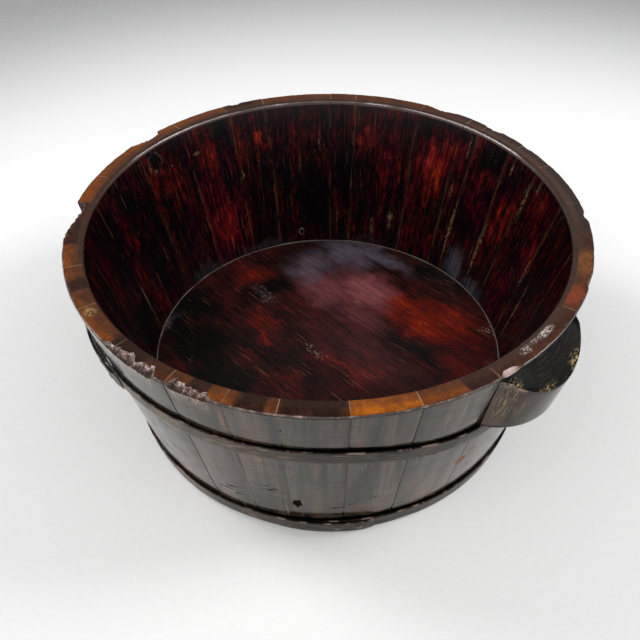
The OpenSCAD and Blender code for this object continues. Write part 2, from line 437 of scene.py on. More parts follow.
def unrolled(angle, height):
    """A place on the wall laid flat: the way round the rim and the height, from degrees and millimetres."""
    return (rim_r * math.radians(angle), height * MM, 0)


def marks(tree, where, places):
    """One mask for several soft spots, each with its place, its reach along X, Y and Z, and a strength."""
    total = 0.0
    for place, reach, strength in places:
        spot = use(tree, mark_spot, Position=where, Place=place, Reach=reach, Core=MARK_CORE)["Spot"]
        total = most(tree, total, both(tree, spot, strength))
    return total


def spots(tree, where, places):
    """Marks on the unrolled wall: angle, height, half width and half height in millimetres, strength."""
    return marks(tree, where, [(unrolled(angle, height), (wide * MM, tall * MM, 1.0), strength)
                               for angle, height, wide, tall, strength in places])


outer_stains = [
    (294.5, 185, 3, 24, 0.5), (300.0, 129, 5, 6, 0.5), (292.0, 150, 3, 20, 0.3), (312.0, 120, 3, 26, 0.25),
    (338.0, 60, 30, 40, 0.12), (324.0, 40, 26, 22, 0.15),
]
outer_knots = [(347.7, 79, 12, 9, 1.0), (350.6, 90, 9, 4, 0.9)]
outer_pitch = [
    (306.9, 52, 7, 10, 1.0), (306.9, 44, 3, 4, 0.7), (300.6, 73, 13, 1.6, 0.9), (299.6, 80, 9, 1.2, 0.6),
    (302.2, 77, 7, 1.2, 0.6), (290.0, 56, 12, 1.5, 0.7), (288.0, 48, 14, 1.6, 0.8), (291.5, 44, 10, 1.5, 0.7),
    (317.0, 46, 16, 1.4, 0.5), (320.0, 52, 12, 1.2, 0.4), (306.0, 186, 3, 4, 0.3),
    (336.0, 126, 14, 1.4, 0.6), (338.0, 120, 10, 1.2, 0.5), (326.0, 62, 10, 1.2, 0.4),
]
lug_brown = [(352.0, 178, 26, 40, 0.8), (371.0, 180, 8, 40, 0.4)]
lug_tan = [(349.4, 176, 9, 36, 1.0), (352.0, 168, 6, 26, 0.5), (368.5, 184, 8, 24, 0.5),
           (361.0, 190, 16, 8, 0.25)]
lug_purple = [(361.0, 176, 34, 44, 0.8)]
print("marks on the outer wall:", len(outer_stains + outer_knots + outer_pitch))

# %% Outer wall lacquer
WARM_GLOSS = (1.0, 0.94, 0.86, 1.0)
wall_lacquer, tree, shader = new_material("wall_lacquer", IOR=1.33, Specular_Tint=WARM_GLOSS, Coat_IOR=1.5,
                                          Coat_Roughness=0.06, Coat_Tint=WARM_GLOSS)
grain = attribute(tree, "grain")["Vector"]
edge = attribute(tree, "edge")["Fac"]
bare = attribute(tree, "bare")["Fac"]
flat_wall = attribute(tree, "unrolled")["Vector"]
above_hoops = axes(tree, attribute(tree, "hoops")["Vector"])
where = use(tree, ragged, Position=flat_wall, Per_metre=160.0, By=0.008)["Position"]

# The lacquer itself, with dull patches and scratches.
threads = noise(tree, grain, (520, 9, 1), 4.0, 0.2, 0.6)
bands = noise(tree, grain, (70, 7, 1), 4.0, 0.3, 0.6)
brushed = noise(tree, grain, (14, 460, 1), 4.0, 0.2, 0.62)
dull = use(tree, worn_patches, Grain=grain, Patches_per_metre=45.0, Amount=0.52, Softness=0.2)["Patch"]
level_cuts = use(tree, scratches, Grain=grain, Run=(26, 1400, 1), Amount=0.5)["Scratch"]
upright_cuts = use(tree, scratches, Grain=grain, Run=(1300, 20, 1), Amount=0.45)["Scratch"]
level = summed(tree, -0.6, (threads, 0.9), (bands, 1.1), (brushed, 0.15))
colour = ramp(tree, level, (0.3, seen(15, 13, 10)), (0.5, seen(33, 28, 21)), (0.66, seen(52, 44, 34)),
              (0.84, seen(82, 68, 53)))
ruddy = step(tree, noise(tree, grain, (46, 10, 1), 4.0, 0.4, 0.6), 0.48, 0.64)
colour = over(tree, colour, seen(84, 54, 48), ruddy, 0.4)
colour = over(tree, colour, seen(84, 77, 66), dull, 0.3)
colour = over(tree, colour, seen(132, 126, 112), level_cuts, 0.35)
colour = over(tree, colour, seen(156, 142, 116), upright_cuts, 0.5)

# The lug's front is browner, with fibres showing at its sides.
brown = spots(tree, where, lug_brown)
purple = spots(tree, where, lug_purple)
colour = over(tree, colour, seen(42, 31, 25), brown, 0.85)
colour = over(tree, colour, seen(38, 31, 32), purple, 0.8)
colour = over(tree, colour, seen(92, 78, 70), both(tree, purple, step(tree, threads, 0.5, 0.68, 0.0, 0.5)))
fibres = step(tree, noise(tree, grain, (1500, 60, 1), 5.0, 0.4, 0.7), 0.46, 0.6, 0.0, 0.8)
colour = over(tree, colour, seen(146, 126, 98), both(tree, spots(tree, where, lug_tan), fibres))
print("outer wall lacquer and lug:", len(tree.nodes), "nodes")

# %% Stains, painted shade above the hoops and gloss of the outer wall
# Stains, knots, scuffs below the splinters, pitch and joints.
colour = over(tree, colour, seen(132, 88, 60), spots(tree, where, outer_stains))
knots = step(tree, spots(tree, where, outer_knots), 0.2, 0.4)
colour = over(tree, colour, seen(122, 80, 56), knots)
scuffs = step(tree, noise(tree, grain, (500, 160, 1), 4.0, 0.5, 0.65), 0.4, 0.6)
colour = over(tree, colour, seen(150, 122, 112), both(tree, bare, scuffs))
pitch = step(tree, spots(tree, where, outer_pitch), 0.12, 0.5)
colour = over(tree, colour, seen(5, 5, 5), pitch)
line = use(tree, joint_line, Edge=edge, Grain=grain, Width=0.0006, Broken=0.36)["Line"]
line = maths(tree, "MULTIPLY", line, 2.4)
colour = over(tree, colour, seen(5, 4, 4), line)

# A dark line below the worn edge, and painted shade with some dirt above each hoop, thinner towards the lug.
wavering = noise(tree, flat_wall, (22, 20, 1), 5.0, 0.0, 0.66)
laid_flat = axes(tree, flat_wall)
under_edge = step(tree, laid_flat["Y"], tub_top - 3.8 * MM, tub_top - 2.8 * MM)
under_edge = both(tree, under_edge, step(tree, wavering, 0.36, 0.5, 0.1, 0.95))
colour = over(tree, colour, seen(8, 6, 5), under_edge)
thinner = step(tree, laid_flat["X"], unrolled(286, 0)[0], unrolled(332, 0)[0], 4.4 * MM, 0.0)
shade_and_dirt_above_hoops = 0.0
for over_hoop in (above_hoops["X"], above_hoops["Y"]):
    reach = summed(tree, -4 * MM, (over_hoop, 1.0), (wavering, 9 * MM), (thinner, 1.0))
    belt = both(tree, step(tree, reach, 5 * MM, 3.8 * MM), step(tree, reach, -14 * MM, -10 * MM))
    shade_and_dirt_above_hoops = most(tree, shade_and_dirt_above_hoops, belt)
colour = over(tree, colour, seen(4, 4, 4), shade_and_dirt_above_hoops, 0.95)

# A dark metal reflects almost nothing, so that is how a place loses the gloss of the lacquer.
gloss_lost = most(tree, shade_and_dirt_above_hoops, pitch, line, knots, under_edge, both(tree, purple, 0.5))
rough = summed(tree, 0.0, (step(tree, threads, 0.3, 0.7, 0.1, 0.18), 1.0), (dull, 0.1), (pitch, 0.7),
               (knots, 0.3))
polish = summed(tree, -0.5, (brushed, 0.7), (bands, 0.7), (dull, -0.2), (shade_and_dirt_above_hoops, -1.0), (pitch, -1.0),
                (brown, -0.5), (purple, -0.4), (under_edge, -1.0))
relief = summed(tree, 0.0, (threads, 0.5), (bands, 0.5), (brushed, 0.25), (level_cuts, -0.3))
feed(tree, shader, Base_Color=colour, Metallic=gloss_lost, Roughness=maths(tree, "MINIMUM", rough, 1.0),
     Coat_Weight=maths(tree, "MAXIMUM", polish, 0.0), Normal=bump(tree, relief, 0.12, 0.4 * MM))
print("outer wall finish:", len(tree.nodes), "nodes")

# %% [markdown]
# ## Finish of the inner wall
# Inside, the lacquer is transparent: the grain of the wood glows red and orange through it in upright
# streaks, with black patches where it has pooled; the large ones on the left side are partly painted shade.
# Low on the wall a bluish grey sheen is painted, partly bloom. The streaks are noises drawn out along the
# grain; the large red, black and tan places are marks of their own, put where the tub shows them.

# %% Marks on the inner wall
RING_WIDTH = 1.6
inner_red = [
    (101, 150, 44, 50, 0.9), (94, 178, 26, 26, 0.8), (112, 160, 30, 50, 0.5), (122, 176, 24, 40, 0.5),
    (69, 146, 26, 50, 0.45), (84, 150, 20, 40, 0.6), (155, 166, 14, 34, 0.7), (172, 100, 46, 52, 0.45),
    (172, 180, 16, 44, 0.3), (186, 152, 30, 40, 0.45), (54, 140, 18, 36, 0.6), (138, 170, 14, 40, 0.4),
    (213, 140, 26, 56, 0.3), (228, 170, 12, 36, 0.35), (60, 90, 40, 40, 0.3), (100, 75, 36, 30, 0.4),
]
inner_orange = [
    (102, 164, 24, 34, 0.8), (118, 176, 10, 46, 0.6), (127, 194, 6, 24, 0.9), (155, 176, 8, 22, 0.8),
    (170, 98, 22, 44, 0.8), (163, 90, 5, 34, 0.7), (186, 194, 6, 14, 1.0), (52, 148, 4, 26, 0.7),
    (84, 140, 6, 30, 0.5), (112, 203, 34, 6, 0.7), (72, 158, 10, 26, 0.5), (180, 196, 6, 8, 0.8),
]
# Dark pooled lacquer; the large patches between 200 and 240 degrees also paint the shade of the left side.
inner_black_and_shade = [
    (139, 100, 36, 52, 1.0), (204, 174, 18, 20, 1.0), (168, 197, 16, 14, 0.9), (148, 120, 12, 60, 0.8),
    (190, 194, 12, 11, 1.0), (110, 126, 7, 14, 0.8), (82, 190, 20, 20, 0.7), (225, 80, 60, 40, 0.8),
    (129, 130, 20, 50, 0.6), (222, 150, 46, 70, 0.5), (200, 130, 30, 60, 0.4), (240, 150, 50, 70, 0.5),
    (78, 110, 20, 30, 0.4), (205, 110, 40, 40, 0.5),
]
# Painted sheen, partly bloom: a bluish grey haze low on the wall.
inner_sheen_bloom = [
    (83, 62, 24, 30, 0.9), (72, 52, 34, 18, 0.6), (184, 54, 50, 14, 0.2), (158, 52, 60, 8, 0.2),
    (120, 54, 60, 6, 0.15),
]
inner_tan = [
    (75.5, 98, 4, 46, 0.9), (88.7, 96, 3, 48, 1.0), (111.5, 84, 6, 20, 0.8), (162.5, 140, 3, 8, 0.8),
    (65.4, 178, 4, 34, 0.6), (176, 181, 7, 2.5, 0.8), (45.4, 92, 3, 52, 0.8), (51, 126, 2.4, 26, 1.0),
    (92, 138, 2.4, 16, 0.9), (217, 92, 2.4, 20, 0.6), (137, 168, 2, 16, 0.6), (74, 196, 2.4, 14, 0.9),
    (62, 198, 2.4, 14, 0.8), (118, 72, 4, 16, 0.6), (90, 190, 2.4, 16, 0.8), (131, 78, 2, 20, 0.5),
    (190.8, 184, 3.6, 2.8, 0.9), (192.4, 190, 1.6, 5, 0.8),
]
inner_rings = [(190, 193, 10, 1.0), (144.2, 62, 3.6, 1.0)]


def ring_marks(tree, where, rings):
    """Thin round scratches on the unrolled wall: angle, height, radius and strength."""
    total = 0.0
    for angle, height, radius, strength in rings:
        whole = spots(tree, where, [(angle, height, radius + RING_WIDTH, radius + RING_WIDTH, strength)])
        hole = spots(tree, where, [(angle, height, radius, radius, 4 * strength)])
        total = most(tree, total, maths(tree, "SUBTRACT", whole, hole))
    return total


print("marks inside:", len(inner_red + inner_orange + inner_black_and_shade + inner_sheen_bloom + inner_tan + inner_rings))

# %% Inner wall lacquer
inner_lacquer, tree, shader = new_material("inner_lacquer", IOR=1.45, Specular_IOR_Level=0.18)
grain = attribute(tree, "grain")["Vector"]
edge = attribute(tree, "edge")["Fac"]
flat_wall = attribute(tree, "unrolled")["Vector"]
where = use(tree, ragged, Position=flat_wall, Per_metre=70.0, By=0.03)["Position"]
close = use(tree, ragged, Position=flat_wall, Per_metre=260.0, By=0.004)["Position"]

# Two reds, both from the same grain, that take turns along the wall.
clouds = noise(tree, grain, (36, 20, 1), 4.0, 0.4, 0.6)
mottle = noise(tree, grain, (230, 84, 1), 6.0, 0.4, 0.66)
bands = noise(tree, grain, (150, 5, 1), 2.0)
threads = noise(tree, grain, (900, 13, 1), 3.0, 0.0, 0.6)
level = summed(tree, -0.87, (clouds, 0.5), (mottle, 0.75), (bands, 0.35), (threads, 0.72),
               (spots(tree, where, inner_red), 0.22), (spots(tree, where, inner_orange), 0.13),
               (spots(tree, where, inner_black_and_shade), -0.28))
glow = ramp(tree, level, (0.2, seen(4, 2, 3)), (0.36, seen(30, 4, 5)), (0.5, seen(76, 12, 7)),
            (0.64, seen(126, 32, 9)), (0.78, seen(170, 66, 20)), (0.95, seen(200, 120, 66)))
wine = ramp(tree, level, (0.2, seen(4, 2, 5)), (0.36, seen(25, 2, 8)), (0.5, seen(62, 6, 12)),
            (0.64, seen(104, 18, 14)), (0.78, seen(140, 46, 22)), (0.95, seen(180, 104, 60)))
colour = over(tree, glow, wine, step(tree, noise(tree, grain, (30, 14, 1), 2.0), 0.44, 0.58))

# Joints: smeared beside, dark in the middle, with pale dirt in places.
beside = step(tree, edge, 4.2 * MM, 0.8 * MM)
smeared = step(tree, noise(tree, grain, (120, 12, 1), 3.0), 0.48, 0.62)
colour = over(tree, colour, seen(64, 42, 27), both(tree, beside, smeared), 0.5)
# Painted sheen, partly bloom, low on the wall.
sheen_bloom = both(tree, spots(tree, where, inner_sheen_bloom), step(tree, threads, 0.36, 0.6, 0.3, 1.0))
colour = over(tree, colour, seen(92, 96, 106), sheen_bloom, 0.55)
dark_line = use(tree, joint_line, Edge=edge, Grain=grain, Width=0.0013, Broken=0.35)["Line"]
colour = over(tree, colour, seen(4, 2, 3), dark_line, 0.9)
pale_line = use(tree, joint_line, Edge=edge, Grain=flat_wall, Width=0.0008, Broken=0.5)["Line"]
colour = over(tree, colour, seen(104, 82, 62), pale_line, 0.5)

# Scratches, dry tan places, specks and round scratches.
cuts = use(tree, scratches, Grain=grain, Run=(1500, 24, 1), Amount=0.45)["Scratch"]
colour = over(tree, colour, seen(150, 104, 70), cuts, 0.38)
crumbs = step(tree, noise(tree, grain, (900, 220, 1), 4.0, 0.0, 0.7), 0.46, 0.6)
colour = over(tree, colour, seen(152, 122, 88), both(tree, spots(tree, close, inner_tan), crumbs), 0.75)
specks = step(tree, noise(tree, flat_wall, (420, 300, 1), 2.0), 0.74, 0.79)
colour = over(tree, colour, seen(170, 150, 130), specks, 0.7)
left_over = step(tree, noise(tree, flat_wall, (80, 80, 1), 2.0), 0.44, 0.54)
colour = over(tree, colour, seen(186, 176, 160), both(tree, ring_marks(tree, close, inner_rings), left_over))
rough = maths(tree, "ADD", step(tree, mottle, 0.3, 0.7, 0.2, 0.3), both(tree, sheen_bloom, 0.2))
relief = summed(tree, 0.0, (threads, 0.6), (mottle, 0.4))
feed(tree, shader, Base_Color=colour, Roughness=rough, Normal=bump(tree, relief, 0.06, 0.4 * MM))
print("inner wall finish:", len(tree.nodes), "nodes")

# %% [markdown]
# ## Finishes of the rim
# On the rim the lacquer has gone: the flat top is bare orange wood, cleaner on some staves and almost black
# on others, and browner at the back. The rounded inner edge is worn to a greyish brown, and along the back it
# carries a thin pale line that is a painted highlight. Chips show raw fibres. One material for each keeps the
# borders sharp, as they are where a hand or a bucket has rubbed along the edge.

# %% Rim wood
def flecks_at(tree, where, places):
    """Marks in space: X, Y, Z and half sizes in millimetres, and a strength."""
    return marks(tree, where, [((x * MM, y * MM, z * MM), (wide * MM, deep * MM, tall * MM), strength)
                               for (x, y, z), (wide, deep, tall), strength in places])


rim_wood, tree, shader = new_material("rim_wood", IOR=1.45, Specular_IOR_Level=0.15)
edge = attribute(tree, "edge")["Fac"]
tone = attribute(tree, "tone")["Fac"]
spot_at = position(tree)
ways = axes(tree, spot_at)
where = use(tree, ragged, Position=spot_at, Per_metre=200.0, By=0.006)["Position"]
from_axis = vectors(tree, "LENGTH", vectors(tree, "MULTIPLY", where, (1, 1, 0)))
smears = noise(tree, spot_at, (60, 60, 60), 5.0, 0.6, 0.6)
pores = noise(tree, spot_at, (700, 700, 300), 4.0, 0.0, 0.7)
blots = noise(tree, spot_at, (220, 220, 220), 5.0, 0.6, 0.66)
inner_half = step(tree, from_axis, rim_r - 6 * MM, rim_r - 12 * MM)
level = summed(tree, -0.96, (tone, 1.0), (smears, 0.6), (pores, 0.8), (blots, 0.55), (inner_half, -0.1))
colour = ramp(tree, level, (0.0, seen(28, 15, 11)), (0.2, seen(56, 31, 20)), (0.42, seen(96, 50, 22)),
              (0.68, seen(130, 66, 20)), (0.95, seen(184, 102, 15)))

# Towards the back the wood is browner, and on the right some lacquer is left on its outer half.
back = step(tree, ways["Y"], -0.16, -0.02)
colour = over(tree, colour, seen(68, 49, 39), both(tree, inner_half, step(tree, back, 0, 1, 0.25, 0.65)))
colour = over(tree, colour, seen(72, 50, 42), back, 0.25)
right_back = vectors(tree, "DOT_PRODUCT", where, direction(70))
colour = over(tree, colour, seen(78, 61, 56), step(tree, right_back, 0.19, 0.222, 0.0, 0.6))
outer_half = step(tree, from_axis, rim_r - 10 * MM, rim_r - 7 * MM)
lacquer_left = both(tree, outer_half, step(tree, right_back, 0.19, 0.212, 0.0, 0.75))
colour = over(tree, colour, seen(46, 40, 38), lacquer_left)

# A red and a tan patch near the lug, a dark outer edge at the back, pores and rubbed flecks.
patchy = step(tree, step(tree, blots, 0.36, 0.6), 0, 1, 0.5, 1.0)
red_patch = step(tree, flecks_at(tree, where, [((218, 66, 210), (17, 24, 8), 1.0)]), 0.0, 0.9, 0.0, 0.66)
colour = over(tree, colour, seen(142, 62, 40), both(tree, red_patch, patchy))
tan_patch = step(tree, flecks_at(tree, where, [((205, 112, 210), (22, 30, 8), 1.0)]), 0.0, 0.8, 0.0, 0.6)
colour = over(tree, colour, seen(132, 82, 48), both(tree, tan_patch, patchy))
outer_line = step(tree, from_axis, rim_r - 3.2 * MM, rim_r - 1.2 * MM)
far_edge = step(tree, ways["Y"], -0.2, -0.1, 0.1, 0.75)
colour = over(tree, colour, seen(40, 26, 20), both(tree, outer_line, far_edge))
colour = over(tree, colour, seen(32, 20, 15), step(tree, pores, 0.5, 0.68, 0.0, 0.5))
colour = over(tree, colour, seen(158, 116, 84), step(tree, pores, 0.42, 0.28, 0.0, 0.3))
speckle = step(tree, noise(tree, spot_at, (700, 700, 700), 4.0), 0.44, 0.56)
rubbed = flecks_at(tree, where, [((228, 13, 210), (5, 14, 4), 1.0), ((229, -14, 210), (5, 9, 4), 0.7),
                                 ((228, -2, 210), (4, 6, 4), 0.5)])
colour = over(tree, colour, seen(206, 196, 188), both(tree, rubbed, speckle))
dry_spot = flecks_at(tree, where, [((-50, -226, 210), (9, 8, 4), 0.9)])
colour = over(tree, colour, seen(168, 140, 92), both(tree, dry_spot, speckle))
line = use(tree, joint_line, Edge=edge, Grain=spot_at, Width=0.0006, Broken=0.3)["Line"]
colour = over(tree, colour, seen(172, 148, 122), line, 0.75)
relief = summed(tree, 0.0, (smears, 0.7), (pores, 0.3))
feed(tree, shader, Base_Color=colour, Roughness=step(tree, smears, 0.3, 0.7, 0.34, 0.5),
     Normal=bump(tree, relief, 0.15, 0.5 * MM))
print("rim wood:", len(tree.nodes), "nodes")

# %% Rounded inner edge
rim_round, tree, shader = new_material("rim_round", IOR=1.5, Specular_IOR_Level=0.36)
edge = attribute(tree, "edge")["Fac"]
spot_at = position(tree)
ways = axes(tree, spot_at)
rubbed = use(tree, worn_patches, Grain=spot_at, Patches_per_metre=60.0, Amount=0.5, Softness=0.2)["Patch"]
pores = noise(tree, spot_at, (420, 420, 420), 4.0, 0.4, 0.68)
right_side = step(tree, ways["X"], -0.06, 0.12)
front = step(tree, ways["Y"], 0.02, -0.12)
to_back = vectors(tree, "DOT_PRODUCT", spot_at, direction(135))
to_right = vectors(tree, "DOT_PRODUCT", spot_at, direction(45))
colour = over(tree, seen(46, 33, 28), seen(72, 54, 46), rubbed)
colour = over(tree, colour, seen(64, 47, 38), right_side, 0.75)
colour = over(tree, colour, seen(60, 36, 22), front, 0.85)
colour = over(tree, colour, seen(26, 17, 14), step(tree, pores, 0.52, 0.64, 0.0, 0.4))
colour = over(tree, colour, seen(128, 112, 104), step(tree, pores, 0.4, 0.32, 0.0, 0.4))
colour = over(tree, colour, seen(58, 40, 30), step(tree, to_back, 0.1, 0.14, 0.0, 0.6))

# A painted highlight: the thin pale line at the back, clearest at both its ends.
depth = summed(tree, tub_top, (ways["Z"], -1.0), (pores, 1.4 * MM))
lip = both(tree, step(tree, depth, 1.6 * MM, 2.0 * MM), step(tree, depth, 3.0 * MM, 2.4 * MM))
lip = both(tree, lip, step(tree, to_back, 0.1, 0.115))
highlight_strength = summed(tree, -0.35, (noise(tree, spot_at, (30, 30, 30), 3.0, 0.3, 0.6), 1.4),
               (step(tree, to_right, 0.09, 0.12), 0.4), (step(tree, to_right, -0.09, -0.12), 0.2))
colour = over(tree, colour, seen(176, 162, 164), both(tree, lip, step(tree, highlight_strength, 0.2, 0.7, 0.12, 0.8)))
line = use(tree, joint_line, Edge=edge, Grain=spot_at, Width=0.0006, Broken=0.3)["Line"]
colour = over(tree, colour, seen(12, 7, 6), line)
rough = summed(tree, 0.0, (step(tree, pores, 0.3, 0.7, 0.14, 0.26), 1.0), (front, 0.25))
feed(tree, shader, Base_Color=colour, Roughness=rough, Normal=bump(tree, pores, 0.16, 0.5 * MM))
print("rounded inner edge:", len(tree.nodes), "nodes")

# %% Worn outer edge with a painted highlight, and raw wood
worn_edge_and_highlight, tree, shader = new_material("worn_edge_and_highlight", IOR=1.5, Coat_Roughness=0.2, Coat_Weight=0.3)
spot_at = position(tree)
rubbed = use(tree, worn_patches, Grain=spot_at, Patches_per_metre=170.0, Amount=0.56, Softness=0.34)["Patch"]
front = step(tree, axes(tree, spot_at)["Y"], -0.02, -0.16, 0.15, 1.0)
# Pale rubbed patches, stronger towards the front: wear of the edge and a painted highlight along it.
colour = over(tree, seen(46, 31, 25), seen(166, 138, 122), both(tree, rubbed, front))
relief = noise(tree, spot_at, (400, 400, 400), 3.0)
feed(tree, shader, Base_Color=colour, Roughness=step(tree, rubbed, 0, 1, 0.28, 0.42),
     Normal=bump(tree, relief, 0.2, 0.4 * MM))

# Splinters are pale at the top and brown below, and the break of a chip is brown all over.
raw_wood, tree, shader = new_material("raw_wood", IOR=1.45, Specular_IOR_Level=0.3)
bare = attribute(tree, "bare")["Fac"]
spot_at = position(tree)
strands = noise(tree, spot_at, (1200, 1200, 420), 4.0, 1.5, 0.66)
tufts = noise(tree, spot_at, (300, 300, 180), 3.0, 0.5, 0.6)
high_up = step(tree, axes(tree, spot_at)["Z"], tub_top - 4.2 * MM, tub_top - 0.8 * MM)
frayed = summed(tree, -1.0, (strands, 1.5), (tufts, 1.0), (high_up, 0.36))
pale = ramp(tree, frayed, (0.3, seen(38, 25, 21)), (0.48, seen(86, 62, 52)), (0.66, seen(140, 120, 112)),
            (0.86, seen(222, 212, 208)))
polished = flecks_at(tree, spot_at, [((231, -41, 208), (16, 18, 12), 1.0)])
pale = over(tree, pale, seen(206, 182, 174), step(tree, polished, 0.3, 0.9, 0.0, 0.55))
brown = over(tree, seen(34, 26, 22), seen(86, 63, 49), step(tree, strands, 0.35, 0.68))
feed(tree, shader, Base_Color=over(tree, brown, pale, bare), Roughness=step(tree, strands, 0, 1, 0.5, 0.75),
     Normal=bump(tree, frayed, 0.5, 0.5 * MM))
print("edge finishes:", worn_edge_and_highlight.name, raw_wood.name)

# %% [markdown]
# ## Finish of the lug's top
# The lug's slanting top is end grain, so it shows the growth rings as arcs. They run about parallel to its
# round front, dark with worn tan flecks at the corners. Rings are distances from one centre line.

# %% Lug end grain
lug_grain, tree, shader = new_material("lug_grain", IOR=1.5, Specular_IOR_Level=0.05)
spot_at = position(tree)
where = use(tree, ragged, Position=spot_at, Per_metre=120.0, By=0.005)["Position"]
ring_centre = (lug_tip_x - 1.5 * lug_r, -6 * MM, lug_tip_z)
from_centre = vectors(tree, "SUBTRACT", where, ring_centre)
ring_r = vectors(tree, "LENGTH", vectors(tree, "MULTIPLY", from_centre, (1, 1, 0)))
ring_line = put(tree, "ShaderNodeCombineXYZ", None, {"X": ring_r}).outputs[0]
rings = noise(tree, ring_line, (420, 1, 1), 3.0)
broken = noise(tree, spot_at, (160, 160, 160), 3.0)
shown = both(tree, step(tree, rings, 0.5, 0.62), step(tree, broken, 0.38, 0.58))
colour = over(tree, seen(11, 10, 8), seen(42, 38, 31), shown)
dashes = step(tree, noise(tree, where, (800, 280, 300), 3.0), 0.5, 0.57)
worn = flecks_at(tree, where, [((257, 26, 190), (12, 20, 14), 0.9), ((243, -45, 202), (9, 9, 10), 0.7),
                               ((257, -22, 190), (5, 18, 6), 0.6), ((252, 40, 194), (6, 7, 8), 0.7)])
colour = over(tree, colour, seen(172, 146, 104), both(tree, worn, dashes))
feed(tree, shader, Base_Color=colour, Roughness=step(tree, rings, 0, 1, 0.36, 0.5),
     Normal=bump(tree, rings, 0.2, 0.5 * MM))
print("lug end grain:", len(tree.nodes), "nodes")

# %% [markdown]
# ## Drawing by sections
# A stave, a hoop and the seam are each one section swept round the axis, so their shape is a row of sections:
# one for each angle. A section is a list of corners with a soft round and a number of cuts, which gives every
# section the same number of points. That way chips, splinters and hollows can change from section to section
# and the mesh stays closed. Boolean cuts would leave long thin faces and sharp, unworn edges.

# %% Section helpers
WANDER_LEVELS = 1024


def wander(x, step_length, seed):
    """Smooth wavering between -1 and 1 along x, with a new random level every step."""
    levels = np.random.default_rng(seed).uniform(-1, 1, WANDER_LEVELS)
    place = np.asarray(x, dtype=float) / step_length
    low = np.floor(place).astype(int)
    part = place - low
    part = part * part * (3 - 2 * part)
    return levels[low % WANDER_LEVELS] * (1 - part) + levels[(low + 1) % WANDER_LEVELS] * part


def section(corners):
    """Points of a closed outline and the zone of the edge after each point.
    A corner is (radius, height, soft, arc steps, cuts up to the next corner, arc zone, zone after it);
    an arc zone may be a pair, one for each half of the arc."""
    arcs = []
    for i, (radius, height, soft, steps, *_) in enumerate(corners):
        here = np.array((radius, height))
        if not steps:
            arcs.append([here])
            continue
        ends = []
        for other in (corners[i - 1], corners[(i + 1) % len(corners)]):
            way = np.array(other[:2]) - here
            length = np.hypot(*way)
            ends.append(here + way / length * min(soft, 0.45 * length))
        turn = np.linspace(0, 1, steps + 1)[:, None]
        arcs.append(list((1 - turn) ** 2 * ends[0] + 2 * turn * (1 - turn) * here + turn ** 2 * ends[1]))
    points, zones = [], []
    for i, corner in enumerate(corners):
        cuts, arc_zone, zone = corner[4:]
        points += arcs[i]
        kinds = arc_zone if isinstance(arc_zone, tuple) else (arc_zone, arc_zone)
        half = (len(arcs[i]) - 1) // 2
        zones += [kinds[0]] * half + [kinds[1]] * (len(arcs[i]) - 1 - half) + [zone]
        last, following = arcs[i][-1], arcs[(i + 1) % len(corners)][0]
        for k in range(1, cuts + 1):
            points.append(last + (following - last) * k / (cuts + 1))
            zones.append(zone)
    return np.array(points), zones


def round_axis(radius, height, angle):
    """Section points turned to an angle round the tub's axis."""
    turn = math.radians(angle)
    return np.column_stack((radius * math.cos(turn), radius * math.sin(turn), height))


print("section helpers ready")

# %% Pieces from sections
SWEPT_SMOOTH = 38


def stand_in(name, mesh, smooth_below):
    """The piece that stands for a solid, smooth except across edges sharper than an angle."""
    mesh.shade_smooth()
    mesh.set_sharp_from_angle(angle=math.radians(smooth_below))
    piece = bpy.data.objects.new("drawn_" + name, mesh)
    bpy.context.collection.objects.link(piece)
    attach(piece, "root")
    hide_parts(name)
    return piece


def sweep(name, rows, zone_rows, finishes, cap_zone=0, closed=False):
    """Quads between rows of section points, with a cap on each end of an open sweep."""
    count, faces, kinds = len(rows[0]), [], []
    for i in range(len(rows) if closed else len(rows) - 1):
        here, there = i * count, (i + 1) % len(rows) * count
        for j in range(count):
            k = (j + 1) % count
            faces.append((here + j, there + j, there + k, here + k))
            kinds.append(zone_rows[i][j])
    if not closed:
        faces.append(tuple(range(count)))
        faces.append(tuple(range(len(rows) * count - 1, (len(rows) - 1) * count - 1, -1)))
        kinds += [cap_zone, cap_zone]
    mesh = bpy.data.meshes.new("drawn_" + name)
    mesh.from_pydata(np.concatenate(rows), [], faces)
    for finish in finishes:
        mesh.materials.append(finish)
    mesh.polygons.foreach_set("material_index", np.array(kinds, dtype=np.int32))
    return stand_in(name, mesh, SWEPT_SMOOTH)


def set_attribute(piece, name, values):
    """Gives every point of a piece a number or a vector that the finishes can read."""
    kind, field = ("FLOAT_VECTOR", "vector") if np.ndim(values) == 2 else ("FLOAT", "value")
    layer = piece.data.attributes.new(name=name, type=kind, domain="POINT")
    layer.data.foreach_set(field, np.asarray(values, dtype=np.float32).ravel())


print("sweep helpers ready")

# %% [markdown]
# ## Damage along the rim
# Chips on such a tub are splits along the grain: a wedge of the outer face comes off and leaves an upright
# break that runs down until it meets the sloping wall. Two stretches of the outer edge are crushed into
# loose fibres instead. Both are given by angle round the tub, so a stave only has to ask how deep it is cut.

# %% Chips and splintered stretches
chips = [
    ((217.5, 217.8, 219.5, 224.0, 228.5, 229.6, 230.1, 231.2), (0, 8.0, 10.0, 7.5, 2.5, 0.5, 4.0, 0)),
    ((183.4, 183.7, 186.5, 189.5, 192.6), (0, 6.0, 7.0, 4.5, 0)),
    ((158.4, 159.2, 160.8, 161.6), (0, 2.5, 2.2, 0)),
    ((97.8, 100.0, 102.5, 107.0), (0, 3.2, 4.2, 0)),
    ((83.5, 85.5, 88.4, 90.0), (0, 3.4, 3.0, 0)),
    ((73.5, 75.0, 78.0), (0, 1.6, 0)),
    ((43.8, 45.0, 46.2, 47.6), (0, 3.0, 2.6, 0)),
    ((19.5, 22.0, 26.5), (0, 2.0, 0)),
]
splinters = [(266.8, 281.2), (283.8, 293.4)]
smooth_chip = (347.6, 352.4)


